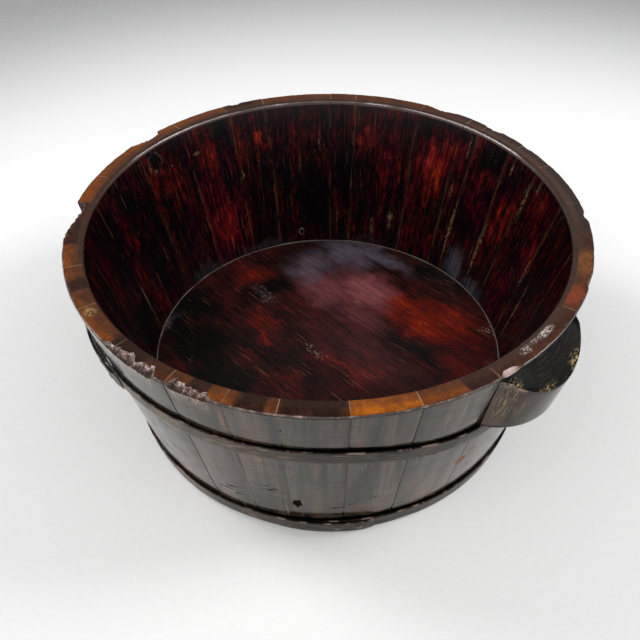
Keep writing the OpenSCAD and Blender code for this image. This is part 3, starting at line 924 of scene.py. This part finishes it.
def chip_depth(angle):
    """How far the outer face is split away at an angle."""
    round_once = angle % 360
    depth = sum(np.interp(round_once, places, depths, left=0, right=0) for places, depths in chips)
    return depth * MM * (1 + 0.2 * wander(round_once, 0.6, 3))


def window(angle, ends, soft=1.2):
    """1 inside a stretch of angle, falling to 0 at its ends."""
    round_once = angle % 360
    return float(np.clip(min(round_once - ends[0], ends[1] - round_once) / soft, 0, 1))


def splinter(angle):
    """1 where the outer edge is crushed into fibres."""
    return max(window(angle, ends) for ends in splinters)


print("chips:", len(chips), "splintered stretches:", len(splinters))

# %% [markdown]
# ## The staves
# Each stave gets its own small flaws: it is slightly hollow, sits a hair deeper than its neighbour, and its
# joint edges are eased. The joints are drawn tight, as the hoops pull them. The points also carry what the
# finishes need: coordinates along the grain, the distance to the joint, how bare a break is, the height above
# each hoop, and the stave's own tone.

# %% Zones and tones of the staves
WALL, EDGE, RIM, ROUND, INSIDE, RAW, LUG_TOP = range(7)
stave_finishes = [wall_lacquer, worn_edge_and_highlight, rim_wood, rim_round, inner_lacquer, raw_wood, lug_grain]
rim_tones = [0.38, 0.2, 0.2, 0.36, 0.34, 0.38, 0.36, 0.36, 0.34, 0.42, 0.24, 0.52, 0.56, 0.5, 0.56, 0.16,
             0.5, 0.38, 0.44, 0.3, 0.5, 0.46, 0.3, 0.78, 0.52]
lug_rim_tone = 0.2
dark_patches = [(155, 162), (246, 250), (267.5, 277.5), (287.5, 292.3), (297.5, 303.5), (306, 317),
                (340.5, 347.4)]
# Along this arc the upper half of the rounded inner edge is bare wood too.
bare_arc = (240.5, 346.0)
joint_insets = np.array((0, 0.35, 0.8, 1.6, 3.0)) * MM
SECTION_WIDE = 3.4 * MM
SECTION_CLOSE = 1.1 * MM


def dark_patch(angle):
    """1 where old lacquer still covers the rim."""
    return max(window(angle, ends, 0.6) for ends in dark_patches)


def stave_angles(first, last):
    """Angles of a stave's sections: close at its edges and where the rim is broken."""
    inset = np.degrees(joint_insets / rim_r)
    angles = list(first + inset)
    wide, close = math.degrees(SECTION_WIDE / rim_r), math.degrees(SECTION_CLOSE / rim_r)
    while angles[-1] < last - inset[-1] - close:
        broken = chip_depth(angles[-1]) > 0 or splinter(angles[-1]) > 0
        angles.append(min(angles[-1] + (close if broken else wide), last - inset[-1]))
    if angles[-1] < last - inset[-1]:
        angles[-1] = last - inset[-1]
    return angles + list(last - inset[-2::-1])


print("rim tones:", len(rim_tones), "dark patches:", len(dark_patches))

# %% Section of the lug
def lug_front(angle, height):
    """Radius of the lug's round front, or of the wall where the lug runs out."""
    axis = lug_tip_x - wall_out.rise * (lug_tip_z - height) - lug_r
    turn = math.radians(angle)
    inside = lug_r ** 2 - (axis * math.sin(turn)) ** 2
    reach = axis * math.cos(turn) + math.sqrt(max(inside, 0))
    return max(reach, wall_out(height) + 0.3 * MM)


def lug_corners(angle):
    """Corners of the lug in one section, from its underside to the top of its slanting face."""
    height = lug_top
    for _ in range(12):
        ahead = lug_front(angle, height) * math.cos(math.radians(angle)) - rim_r
        height = 0.5 * height + 0.5 * (lug_top - lug_fall * max(0, ahead))
    return [
        (wall_out(lug_under), lug_under, 0, 0, 2, WALL, WALL),
        (lug_front(angle, lug_under), lug_under, 2.5 * MM, 3, 7, WALL, WALL),
        (lug_front(angle, height), height, 2.2 * MM, 3, 8, LUG_TOP, LUG_TOP),
        (wall_out(lug_top), lug_top, 0, 0, 1, WALL, WALL),
    ]


print("lug front at its middle", round(lug_front(0, lug_under), 4), "to", round(lug_front(0, lug_tip_z), 4))

# %% Section of a stave
BREAK_LEAST = 0.4 * MM
SPLINTER_WIDE, SPLINTER_HIGH = 6.2 * MM, 3.0 * MM
POLISH_WIDE, POLISH_HIGH = 3.6 * MM, 1.4 * MM
EDGE_SOFT = 0.4 * MM


def stave_section(angle, with_lug, drop):
    """One section of a stave: outline, zones and how bare its break is."""
    depth, fibres = float(chip_depth(angle)), splinter(angle)
    bevel_w = 0.6 * rim_bevel * (1 + 0.3 * float(wander(angle, 0.9, 5)))
    bevel_h = bevel_w
    if fibres:
        rough = 1 + 0.45 * float(wander(angle, 2.3, 7)) + 0.35 * float(wander(angle, 0.5, 8))
        bevel_w += fibres * SPLINTER_WIDE * rough
        bevel_h += fibres * SPLINTER_HIGH * rough
    polished = window(angle, smooth_chip)
    bevel_w += POLISH_WIDE * polished
    bevel_h += POLISH_HIGH * polished
    top = tub_top - drop
    split_r = rim_r - depth
    split_z = min(top - bevel_h - 0.8 * MM, wall_out.height_at(split_r))
    low_r = min(split_r, wall_out(top - bevel_h))
    broken = depth > BREAK_LEAST
    break_zone = RAW if broken else WALL
    edge_zone = RAW if broken or fibres > 0.1 or polished > 0.1 else EDGE
    arc_zone = (RIM, ROUND) if window(angle, bare_arc) > 0 else ROUND
    lug = lug_corners(angle) if with_lug else []
    corners = [
        (wall_in(0), 0, 1.0 * MM, 1, 2, WALL, WALL),
        (wall_out(0), 0, 1.6 * MM, 2, 12, WALL, WALL),
        *lug,
        (wall_out(split_z), split_z, 0, 0, 2, WALL, break_zone),
        (low_r, top - bevel_h, EDGE_SOFT, 1, 5, edge_zone, edge_zone),
        (low_r - bevel_w, top, EDGE_SOFT, 1, 3, edge_zone, RIM),
        (wall_in(top), top, round_over, 6, 12, arc_zone, INSIDE),
        (wall_in(groove_top), groove_top, 0, 0, 0, INSIDE, INSIDE),
        (groove_r, groove_top, 0, 0, 0, INSIDE, INSIDE),
        (groove_r, groove_low, 0, 0, 0, INSIDE, INSIDE),
        (wall_in(groove_low), groove_low, 0, 0, 2, INSIDE, INSIDE),
    ]
    points, zones = section(corners)
    return points, zones, max(fibres, polished, 0.25 if broken else 0)


print("points in a plain section:", len(stave_section(180, False, 0)[0]))

# %% Wear of a section
JOINT_EASE, EASE_REACH = 0.15 * MM, 1.2 * MM
SWELL = 0.2 * MM
FRAY = 0.8 * MM


def worn_section(angle, points, zones, bare, to_joint, side, number, flaws, recess):
    """Radius and height of a section's points with the flaws and wear of its stave."""
    radius, height = points[:, 0].copy(), points[:, 1].copy()
    depth, hollow = flaws
    kind = np.array(zones)
    outside = (kind == WALL) | (kind == LUG_TOP)
    ease = JOINT_EASE * max(0, 1 - to_joint / EASE_REACH) ** 2
    swell = SWELL * (1 + wander(height * 1000 + 40 * number, 34, number)) * 0.5
    fade = np.clip((radius - wall_in(height)) / (5 * MM), 0, 1)
    sunk = depth + hollow * side ** 2 + swell + ease
    radius -= fade * np.where(outside | (kind == EDGE) | (kind == RAW), sunk, 0)
    radius -= np.where(outside, recess, 0)
    radius += np.where((kind == INSIDE) & (height > groove_top), ease + 0.3 * depth, 0)
    height -= np.where((kind == RIM) | (kind == ROUND) | (kind == EDGE), ease, 0)
    if splinter(angle) > 0.05:
        fray = wander(angle + 17.3 * np.arange(len(radius)), 0.45, 11) * FRAY * min(1, bare)
        height -= np.where(kind == RAW, np.abs(fray), 0)
    return radius, height, kind, outside


print("wear of a section: joints eased over", EASE_REACH, "m")

# %% Cooper the staves
least_flaws, most_flaws = (0.05, 0.05, 0.1), (0.5, 0.16, 0.4)
LUG_RECESS, RECESS_REACH = 1.3 * MM, 14 * MM
QUIET_JOINT = 0.58 * MM
loud_joints = (283.5, 295.5, 318.5, 331.5)
joint_closing = 0.47 * (span("stave_02")[0] - span("stave_01")[1])


def cooper(name, number, tone, with_lug=False, recess=0.0):
    """One stave as a closed mesh over its solid."""
    first, last = span(name)
    first, last = first - joint_closing, last + joint_closing
    middle, half = (first + last) / 2, (last - first) / 2
    drop, *flaws = np.random.default_rng(100 + number).uniform(least_flaws, most_flaws) * MM
    rows, zone_rows = [], []
    carried = {key: [] for key in ("grain", "edge", "bare", "hoops", "tone", "unrolled")}
    for angle in stave_angles(first, last):
        points, zones, bare = stave_section(angle, with_lug, drop)
        to_joint = math.radians(min(angle - first, last - angle)) * rim_r
        by_lug = recess * max(0, 1 - math.radians(angle - first) * rim_r / RECESS_REACH)
        radius, height, kind, outside = worn_section(
            angle, points, zones, bare, to_joint, (angle - middle) / half, number, flaws, by_lug)
        rows.append(round_axis(radius, height, angle))
        zone_rows.append(zones)
        whole = np.ones(len(radius))
        joint = first if angle < middle else last
        loud = min(abs(joint - there) for there in loud_joints) < 0.6
        way_round = math.radians(angle + (360 if with_lug else 0)) * rim_r
        low_wall = (kind == WALL) & (height < tub_top - 14 * MM)
        carried["grain"].append(np.column_stack((math.radians(angle - middle) * radius, height,
                                                 number * 3.7 * whole)))
        seen_joint = 0.55 * to_joint if loud else to_joint + QUIET_JOINT
        carried["edge"].append(np.where(outside, seen_joint, to_joint))
        carried["bare"].append(np.where(low_wall, 0, np.where(kind == WALL, splinter(angle), bare)))
        carried["hoops"].append(np.column_stack((height - hoop_top("upper_hoop", angle),
                                                 height - hoop_top("lower_hoop", angle), 0 * whole)))
        carried["tone"].append(tone * (1 - 0.85 * dark_patch(angle)) * whole)
        carried["unrolled"].append(np.column_stack((way_round * whole, height, 0 * whole)))
    piece = sweep(name, rows, zone_rows, stave_finishes, INSIDE)
    for key, values in carried.items():
        set_attribute(piece, key, np.concatenate(values))
    return piece


plain_staves = sorted(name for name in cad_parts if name.startswith("stave_") and name[6:].isdigit())
staves = [cooper(name, i + 1, rim_tones[i], recess=LUG_RECESS if i == 0 else 0.0)
          for i, name in enumerate(plain_staves)]
staves.append(cooper("handle_stave", 0, lug_rim_tone, with_lug=True))
print("staves:", len(staves), "faces:", sum(len(s.data.polygons) for s in staves))

# %% [markdown]
# ## The hoops
# A hoop is one flat strap whose outer end laps over its start, where two rivets hold it. It is drawn the way
# it is made: a section with rounded edges that runs round the tub once and a little more, steps out over its
# own start, and, on the upper hoop, dips below the lug. Its finish is streaked along the strap, with pale
# nicks along the upper edge and painted shade, nearly black, on the ledge behind it.

# %% Hoop finish
hoop_strap, tree, shader = new_material("hoop_strap", IOR=1.47, Specular_IOR_Level=0.12)
spot_at = position(tree)
grain = attribute(tree, "grain")["Vector"]
edge = attribute(tree, "edge")["Fac"]
strands = noise(tree, grain, (620, 44, 1), 5.0, 0.4, 0.7)
worn = noise(tree, spot_at, (24, 24, 60), 4.0, 0.3, 0.6)
left_side = flecks_at(tree, spot_at, [((20, -215, 120), (210, 140, 400), 1.0)])
level = summed(tree, -1.13, (strands, 2.3), (worn, 0.9), (left_side, 0.28))
colour = ramp(tree, level, (0.25, seen(15, 13, 11)), (0.45, seen(38, 32, 26)), (0.62, seen(60, 50, 41)),
              (0.8, seen(80, 68, 56)), (0.95, seen(124, 109, 93)))
colour = over(tree, colour, seen(34, 24, 21), step(tree, edge, 0.6 * MM, 0.0), 0.85)
nicked = step(tree, noise(tree, grain, (120, 60, 1), 3.0), 0.5, 0.6)
lip = both(tree, step(tree, edge, 1.4 * MM, 0.8 * MM), nicked)
colour = over(tree, colour, seen(158, 134, 122), lip, 0.6)
# Painted shade: the inner part of the ledge and the face against the wall are painted nearly black.
colour = over(tree, colour, seen(6, 5, 5), step(tree, edge, -1.0 * MM, -1.6 * MM))
feed(tree, shader, Base_Color=colour, Roughness=step(tree, strands, 0.3, 0.7, 0.22, 0.4),
     Normal=bump(tree, strands, 0.5, 0.5 * MM))
print("hoop finish:", len(tree.nodes), "nodes")

# %% Bend the hoops
STRAP = 0
HOOP_SECTIONS = 440
CLIMB_LENGTH = 70 * MM
TIP_LENGTH = 8 * MM
TIP_THINNED = 0.6
STRAP_DENT = 0.15 * MM
STRAP_WAVER = 0.5 * MM
lap_starts = {"upper_hoop": 253, "lower_hoop": 313}


def bend_hoop(name, lap_start):
    """One strap that runs round the tub, climbs over its own start and ends in a thin tip."""
    low, high, gap, thick = hoop_sizes[name]
    round_r = wall_out(low)
    climb, tip = math.degrees(CLIMB_LENGTH / round_r), math.degrees(TIP_LENGTH / round_r)
    last = lap_start + 360 + math.degrees(HOOP_LAP / round_r)
    rows, zone_rows, edges, grains = [], [], [], []
    for angle in np.linspace(lap_start, last, HOOP_SECTIONS):
        rise = float(np.clip((angle - lap_start - 360 + climb) / climb, 0, 1))
        inner = gap + (thick + gap) * rise * rise * (3 - 2 * rise)
        thin = STRAP_DENT * (1 + float(wander(angle, 6.0, 21)))
        thin += TIP_THINNED * thick * float(np.clip((angle - last + tip) / tip, 0, 1))
        outer = inner + thick - thin
        base = hoop_bottom(name, angle)
        bottom = base + STRAP_WAVER * (1 + float(wander(angle, 8.0, 22)))
        top = base + high - low - STRAP_WAVER * (1 + float(wander(angle, 7.0, 23)))
        points, zones = section([
            (wall_out(bottom) + inner, bottom, 0, 0, 1, STRAP, STRAP),
            (wall_out(bottom) + outer, bottom, 0.9 * MM, 2, 5, STRAP, STRAP),
            (wall_out(top) + outer, top, 0.8 * MM, 2, 1, STRAP, STRAP),
            (wall_out(top) + inner, top, 0, 0, 3, STRAP, STRAP),
        ])
        radius, height = points.T
        rows.append(round_axis(radius, height, angle))
        zone_rows.append(zones)
        edges.append(top - height - (wall_out(height) + outer - radius))
        whole = np.ones(len(points))
        way_round = math.radians(angle) * rim_r
        grains.append(np.column_stack((height - base, way_round * whole, lap_start * whole)))
    piece = sweep(name, rows, zone_rows, [hoop_strap], STRAP)
    set_attribute(piece, "edge", np.concatenate(edges))
    set_attribute(piece, "grain", np.concatenate(grains))
    return piece


hoops = [bend_hoop(name, lap_start) for name, lap_start in lap_starts.items()]
print("hoops:", [(hoop.name, len(hoop.data.polygons)) for hoop in hoops])

# %% [markdown]
# ## The floor boards
# Four boards lie edge to edge and slide into the groove of the staves. Each is cut from one turned disc with
# two planes, so that together they keep a true circle; the cut edges are eased and each board is a little
# cupped. The finish is the red inner lacquer again, with the grain lying flat and a painted pale sheen in the
# middle.

# %% Floor finish
FLOOR_LEVEL = 49
floor_lacquer, tree, shader = new_material("floor_lacquer", IOR=1.45, Specular_IOR_Level=0.25)
spot_at = position(tree)
board = attribute(tree, "board")["Fac"]
edge = attribute(tree, "edge")["Fac"]
where = use(tree, ragged, Position=spot_at, Per_metre=45.0, By=0.04)["Position"]
bent = axes(tree, use(tree, ragged, Position=spot_at, Per_metre=12.0, By=0.008)["Position"])
grain = put(tree, "ShaderNodeCombineXYZ", None, {"X": bent["Y"], "Y": bent["X"], "Z": board}).outputs[0]


def floor_mask(*places):
    """Marks on the floor: X, Y and half sizes in millimetres, and a strength."""
    return flecks_at(tree, where, [((x, y, FLOOR_LEVEL), (wide, deep, 400), strength)
                                   for x, y, wide, deep, strength in places])


red = floor_mask(
    (70, 110, 84, 50, 1.0), (20, 96, 50, 46, 0.8), (-140, 18, 34, 36, 0.7), (-66, -28, 44, 26, 0.8),
    (60, -4, 80, 40, 0.4), (120, 70, 50, 60, 0.7), (0, -70, 60, 24, 0.35))
orange = floor_mask(
    (14, 106, 44, 26, 1.0), (52, 82, 40, 24, 0.9), (90, 112, 40, 30, 0.7), (-138, 12, 14, 22, 0.4),
    (-66, -12, 34, 5, 0.9), (-58, -38, 30, 5, 0.9), (40, -14, 40, 5, 0.6), (60, 128, 44, 16, 0.6))
black = floor_mask(
    (-100, -92, 60, 44, 1.0), (-150, -70, 40, 50, 0.9), (-40, -110, 60, 34, 0.7), (-109, 20, 18, 50, 0.5),
    (76, 56, 60, 10, 0.9), (10, 162, 60, 12, 0.8), (-60, 46, 60, 4, 0.5), (-40, -59, 90, 4, 0.5),
    (130, 20, 40, 30, 0.3))
pink_sheen = floor_mask(
    (-30, 92, 60, 40, 1.0), (-60, 60, 60, 36, 0.55), (-10, 56, 60, 24, 0.4), (40, 20, 120, 50, 0.15))
blue_sheen = floor_mask(
    (-90, 128, 50, 34, 1.0), (-104, 80, 40, 46, 0.7), (-106, 8, 24, 14, 0.1), (-60, 148, 60, 18, 0.8),
    (-150, -100, 12, 30, 0.4))
chipped = floor_mask((-2, -15, 24, 8, 0.8), (-82, -114, 5, 12, 1.0), (108, 133, 8, 6, 1.0),
                     (-106, 10, 24, 16, 0.4))
clouds = noise(tree, spot_at, (26, 34, 1), 4.0, 0.4, 0.6)
mottle = noise(tree, grain, (240, 36, 1), 6.0, 0.4, 0.66)
threads = noise(tree, grain, (1000, 10, 1), 3.0, 0.2, 0.6)
dots = noise(tree, spot_at, (420, 420, 1), 5.0, 0.3, 0.68)
level = summed(tree, -0.68, (clouds, 0.5), (mottle, 0.4), (threads, 0.45), (dots, 0.56), (red, 0.2),
               (orange, 0.18), (black, -0.24))
colour = ramp(tree, level, (0.15, seen(9, 8, 7)), (0.34, seen(46, 17, 15)), (0.5, seen(92, 22, 15)),
              (0.64, seen(132, 34, 12)), (0.8, seen(176, 74, 20)), (0.95, seen(200, 116, 60)))
streaky = step(tree, summed(tree, 0.0, (mottle, 0.35), (threads, 0.35), (dots, 0.3)), 0.4, 0.58, 0.5, 1.0)
# Painted sheen: pinkish and bluish reflections over the grain on the far part of the floor.
colour = over(tree, colour, seen(146, 80, 84), both(tree, pink_sheen, streaky), 0.85)
colour = over(tree, colour, seen(106, 98, 114), both(tree, blue_sheen, streaky), 0.85)
cuts = use(tree, scratches, Grain=grain, Run=(1500, 24, 1), Amount=0.5)["Scratch"]
colour = over(tree, colour, seen(176, 112, 84), cuts, 0.5)
nicks = step(tree, noise(tree, spot_at, (500, 500, 500), 3.0), 0.55, 0.66)
colour = over(tree, colour, seen(176, 160, 146), both(tree, nicks, chipped))
line = use(tree, joint_line, Edge=edge, Grain=spot_at, Width=0.0007, Broken=0.4)["Line"]
colour = over(tree, colour, seen(8, 6, 6), line, 0.5)
relief = summed(tree, 0.0, (threads, 0.6), (mottle, 0.4))
feed(tree, shader, Base_Color=colour, Roughness=step(tree, mottle, 0.3, 0.7, 0.24, 0.36),
     Normal=bump(tree, relief, 0.06, 0.4 * MM))
print("floor finish:", len(tree.nodes), "nodes")

# %% Turned bodies
TURNED_SMOOTH = 30


def turn_body(rings, segments):
    """A closed turned body: rings of radius and height, from the top of its axis to the bottom."""
    body = bmesh.new()
    turns = [2 * math.pi * k / segments for k in range(segments)]
    rows = []
    for radius, height in rings:
        if radius == 0:
            rows.append([body.verts.new((0, 0, height))])
        else:
            rows.append([body.verts.new((radius * math.cos(t), radius * math.sin(t), height)) for t in turns])
    for upper, lower in zip(rows, rows[1:]):
        for k in range(segments):
            n = (k + 1) % segments
            around = ((upper, k), (lower, k), (lower, n), (upper, n))
            corners = [row[place % len(row)] for row, place in around]
            body.faces.new(list(dict.fromkeys(corners)))
    return body


def stand_in_body(name, body, finish):
    """Turns a finished body into the piece that stands for a solid."""
    bmesh.ops.recalc_face_normals(body, faces=body.faces)
    mesh = bpy.data.meshes.new("drawn_" + name)
    body.to_mesh(mesh)
    body.free()
    mesh.materials.append(finish)
    return stand_in(name, mesh, TURNED_SMOOTH)


print("turning helpers ready")

# %% Saw the floor boards
BOARD_SEGMENTS = 96
TOP_RINGS, UNDER_RINGS = 14, 4
BOARD_SOFT = 0.8 * MM
BOARD_EASE, BOARD_EASE_REACH = 0.15 * MM, 1.1 * MM
CUT_INSET = 1.2 * MM
BOARD_CUP = 0.25 * MM
board_names = [f"floor_board_{i}" for i in (1, 2, 3, 4)]
floor_r = max(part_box(name)[1].x for name in board_names)


def saw_board(name, number):
    """One board cut from the whole floor by a plane along each joint."""
    low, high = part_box(name)
    r, _, z = polar(name)
    levels = np.unique(np.round(z / MM, 2))
    ledge = levels[(levels > low.z / MM + 1) & (levels < high.z / MM - 1)].max() * MM
    under_r = r[z < low.z + SAME_PLACE].max()
    rings = [(floor_r * k / TOP_RINGS, high.z) for k in range(TOP_RINGS)]
    rings += [(floor_r - BOARD_SOFT, high.z), (floor_r, high.z - BOARD_SOFT)]
    rings += [(floor_r, ledge), (under_r, ledge)]
    rings += [(under_r * k / UNDER_RINGS, low.z) for k in range(UNDER_RINGS, -1, -1)]
    cut = turn_body(rings, BOARD_SEGMENTS)
    joints = [(side, bound) for side, bound in ((-1, low.y), (1, high.y)) if abs(bound) < floor_r - MM]
    for side, bound in joints:
        for inset in (CUT_INSET, 0.0):
            geometry = cut.verts[:] + cut.edges[:] + cut.faces[:]
            made = bmesh.ops.bisect_plane(cut, geom=geometry, plane_co=(0, bound - side * inset, 0),
                                          plane_no=(0, side, 0), clear_outer=inset == 0.0)
        rim = [e for e in made["geom_cut"] if isinstance(e, bmesh.types.BMEdge)]
        bmesh.ops.contextual_create(cut, geom=rim)
    middle, half = (low.y + high.y) / 2, (high.y - low.y) / 2
    edges = []
    for vertex in cut.verts:
        to_joint = min((abs(vertex.co.y - bound) for _, bound in joints), default=1.0)
        edges.append(to_joint)
        if vertex.co.z > high.z - 0.1 * MM:
            ease = BOARD_EASE * max(0, 1 - to_joint / BOARD_EASE_REACH)
            vertex.co.z -= ease + BOARD_CUP * ((vertex.co.y - middle) / half) ** 2
    piece = stand_in_body(name, cut, floor_lacquer)
    set_attribute(piece, "edge", np.array(edges))
    set_attribute(piece, "board", np.full(len(edges), number * 2.3))
    return piece


boards = [saw_board(name, i + 1) for i, name in enumerate(board_names)]
print("floor boards:", [len(board.data.polygons) for board in boards])

# %% [markdown]
# ## The putty seam
# A line of pale putty closes the corner between floor and wall. It was pressed in by hand, so its width
# changes all the way round: a small hollow fillet is swept once round the tub with a wavering leg.

# %% Press in the putty
seam_putty, tree, shader = new_material("seam_putty", IOR=1.45)
spot_at = position(tree)
grime = use(tree, worn_patches, Grain=spot_at, Patches_per_metre=70.0, Amount=0.5, Softness=0.2)["Patch"]
crumbs = noise(tree, spot_at, (900, 900, 900), 3.0)
colour = over(tree, seen(86, 77, 70), seen(50, 42, 38), grime)
colour = over(tree, colour, seen(60, 44, 36), step(tree, crumbs, 0.58, 0.7, 0.0, 0.7))
feed(tree, shader, Base_Color=colour, Roughness=step(tree, crumbs, 0, 1, 0.6, 0.8),
     Normal=bump(tree, crumbs, 0.4, 0.5 * MM))

PUTTY = 0
SEAM_STEP = 0.8
seam_clear = 0.1 * MM
seam_low, seam_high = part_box("floor_seam")
seam_leg = seam_high.z - seam_low.z
seam_base = seam_low.z
seam_back = wall_in(seam_base) - seam_clear
rows, zone_rows = [], []
for angle in np.arange(0, 360, SEAM_STEP):
    leg = seam_leg * (0.3 + 0.16 * float(wander(angle, 360 / 72, 31)))
    rise = seam_leg * (0.34 + 0.2 * float(wander(angle, 360 / 60, 32)))
    points, zones = section([
        (seam_back, seam_base, 0, 0, 0, PUTTY, PUTTY),
        (seam_back + wall_in.rise * rise, seam_base + rise, 0, 0, 1, PUTTY, PUTTY),
        (seam_back - 0.3 * leg, seam_base + 0.3 * rise, 0.4 * leg, 2, 1, PUTTY, PUTTY),
        (seam_back - leg, seam_base, 0, 0, 0, PUTTY, PUTTY),
    ])
    rows.append(round_axis(*points.T, angle))
    zone_rows.append(zones)
seam = sweep("floor_seam", rows, zone_rows, [seam_putty], closed=True)
print("seam leg", round(seam_leg, 4), "faces", len(seam.data.polygons))

# %% [markdown]
# ## Rivets and pegs
# Two rivets hold each lap. A rivet is turned on its own axis, square to the wall, and its low head is left a
# little uneven by the hammer; it was lacquered over with the hoop. The bamboo pegs inside the joints have
# their real shape already, so their solids stay as they are and only get a finish.

# %% Finishes of the rivets and the pegs
bamboo_peg, tree, shader = new_material("bamboo_peg", IOR=1.45)
strands = noise(tree, position(tree), (700, 700, 700), 4.0)
feed(tree, shader, Base_Color=over(tree, seen(150, 112, 62), seen(196, 164, 104), strands),
     Roughness=step(tree, strands, 0, 1, 0.5, 0.7), Normal=bump(tree, strands, 0.3, 0.4 * MM))

rivet_skin, tree, shader = new_material("rivet_skin", IOR=1.5, Coat_IOR=1.5, Coat_Roughness=0.25,
                                        Coat_Weight=0.3)
spot_at = position(tree)
rubbed = use(tree, worn_patches, Grain=spot_at, Patches_per_metre=240.0, Amount=0.5, Softness=0.2)["Patch"]
relief = noise(tree, spot_at, (500, 500, 500), 3.0)
feed(tree, shader, Base_Color=over(tree, seen(34, 28, 25), seen(84, 68, 56), rubbed),
     Roughness=step(tree, rubbed, 0, 1, 0.32, 0.5), Normal=bump(tree, relief, 0.3, 0.4 * MM))

for name in ("stave_pegs", "floor_pegs"):
    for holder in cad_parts[name].material_slots:
        holder.material = bamboo_peg
    print(name, "takes", bamboo_peg.name)

# %% Hammer the rivets
RIVET_SEGMENTS = 28
DOME_RINGS = 4
HAMMERED = 0.03


def hammer_rivet(points, turn, number):
    """One rivet with the axis and sizes of its solid's corners."""
    axis = np.array(direction(math.degrees(turn), -math.degrees(math.atan(wall_out.rise))))
    along = points @ axis
    end = points[along < along.min() + SAME_PLACE]
    foot = (end.min(axis=0) + end.max(axis=0)) / 2
    along = along - along.min()
    off = np.linalg.norm(points - foot - np.outer(along, axis), axis=1)
    shank_r, head_r, length = off[along < SAME_PLACE].max(), off.max(), along.max()
    head_from = along[off > shank_r + 0.1 * MM].min()
    rings = [(head_r * k / DOME_RINGS, length - (length - head_from) * (k / DOME_RINGS) ** 2)
             for k in range(DOME_RINGS)]
    rings += [(head_r, head_from + 0.1 * MM), (head_r, head_from), (shank_r, head_from), (shank_r, 0), (0, 0)]
    rivet = turn_body(rings, RIVET_SEGMENTS)
    for vertex in rivet.verts:
        if vertex.co.z > head_from + 0.05 * MM:
            place = math.degrees(math.atan2(vertex.co.y, vertex.co.x)) + 90 * number
            beat = 1 + float(wander(place, 40, 41))
            vertex.co.xy *= 1 - HAMMERED * beat
            vertex.co.z -= HAMMERED * MM * beat
    stand = Vector(axis).to_track_quat("Z", "Y").to_matrix().to_4x4()
    stand.translation = Vector(foot)
    bmesh.ops.transform(rivet, matrix=stand, verts=rivet.verts)
    return rivet


def hammer_pair(name):
    """The two rivets of a lap as one piece."""
    corners = np.array([vertex.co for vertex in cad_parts[name].data.vertices])
    angles = np.arctan2(corners[:, 1], corners[:, 0])
    pair = bmesh.new()
    for number, group in enumerate((angles < angles.mean(), angles >= angles.mean())):
        turn = (angles[group].min() + angles[group].max()) / 2
        rivet = hammer_rivet(corners[group], turn, number)
        spare = bpy.data.meshes.new("spare")
        rivet.to_mesh(spare)
        rivet.free()
        pair.from_mesh(spare)
        bpy.data.meshes.remove(spare)
    return stand_in_body(name, pair, rivet_skin)


rivets = [hammer_pair(name) for name in ("upper_hoop_rivets", "lower_hoop_rivets")]
print("rivets:", [(pair.name, len(pair.data.polygons)) for pair in rivets])

# %% [markdown]
# ## Floor and light
# The tub stands on a pale floor between two soft windows of equal strength, one on the left and one on the
# right behind. Small bright lamps would leave hard spots on the lacquer, so both are large area lamps, and a
# pale sky that is darker on the far side fills the rest. The floor gets darker towards the edge of the
# camera's view, as it does where a room's light falls off, and is pale again beyond it.

# %% Studio floor
FLOOR_HALF = 6.0
view_centre = (0.16, -0.01, 0)
floor_mesh = bpy.data.meshes.new("studio_floor")
floor_corners = [(-FLOOR_HALF, -FLOOR_HALF, 0), (FLOOR_HALF, -FLOOR_HALF, 0),
                 (FLOOR_HALF, FLOOR_HALF, 0), (-FLOOR_HALF, FLOOR_HALF, 0)]
floor_mesh.from_pydata(floor_corners, [], [(0, 1, 2, 3)])
studio_floor = bpy.data.objects.new("studio_floor", floor_mesh)
bpy.context.collection.objects.link(studio_floor)
pale_floor, tree, shader = new_material("pale_floor", Roughness=0.8, Specular_IOR_Level=0.2)
spot_at = position(tree)
lit = use(tree, mark_spot, Position=spot_at, Place=view_centre, Reach=(1.36, 1.36, 1), Core=0.48)["Spot"]
in_view = use(tree, mark_spot, Position=spot_at, Place=view_centre, Reach=(2.4, 2.4, 1), Core=0.64)["Spot"]
specks = noise(tree, spot_at, (200, 200, 200), 5.0)
colour = over(tree, seen(150, 150, 151), seen(240, 240, 240), lit)
colour = over(tree, seen(244, 244, 244), colour, in_view)
colour = over(tree, colour, seen(222, 222, 221), step(tree, specks, 0.5, 0.75, 0.0, 0.2))
feed(tree, shader, Base_Color=colour)
floor_mesh.materials.append(pale_floor)
print("studio floor", 2 * FLOOR_HALF, "m across")

# %% Lamps and sky
WINDOW_SIZE = 0.7
WINDOW_POWER = 22
WINDOW_DISTANCE = 2.4


def add_window(name, azimuth, elevation):
    """A square area lamp at an angle round the tub, facing it."""
    lamp = bpy.data.lights.new(name, "AREA")
    lamp.size, lamp.energy = WINDOW_SIZE, WINDOW_POWER
    holder = bpy.data.objects.new(name, lamp)
    bpy.context.collection.objects.link(holder)
    holder.location = WINDOW_DISTANCE * direction(azimuth, elevation)
    holder.rotation_euler = (tub_middle - holder.location).to_track_quat("-Z", "Y").to_euler()
    return holder


windows = [add_window("left_window", 207, 46), add_window("right_window", 46, 42)]
world = bpy.data.worlds.new("sky")
world.use_nodes = True
tree = world.node_tree
far_side = Vector((-0.5, 0.5, 0.7)).normalized()
look = put(tree, "ShaderNodeTexCoord").outputs["Generated"]
towards = vectors(tree, "DOT_PRODUCT", look, far_side)
sky = tree.nodes["Background"].inputs
sky["Color"].default_value = (1.0, 1.0, 1.0, 1.0)
tree.links.new(step(tree, towards, 0.1, 0.9, 1.2, 0.2), sky["Strength"])
bpy.context.scene.world = world
print("lamps:", [window_lamp.name for window_lamp in windows], "and a sky")
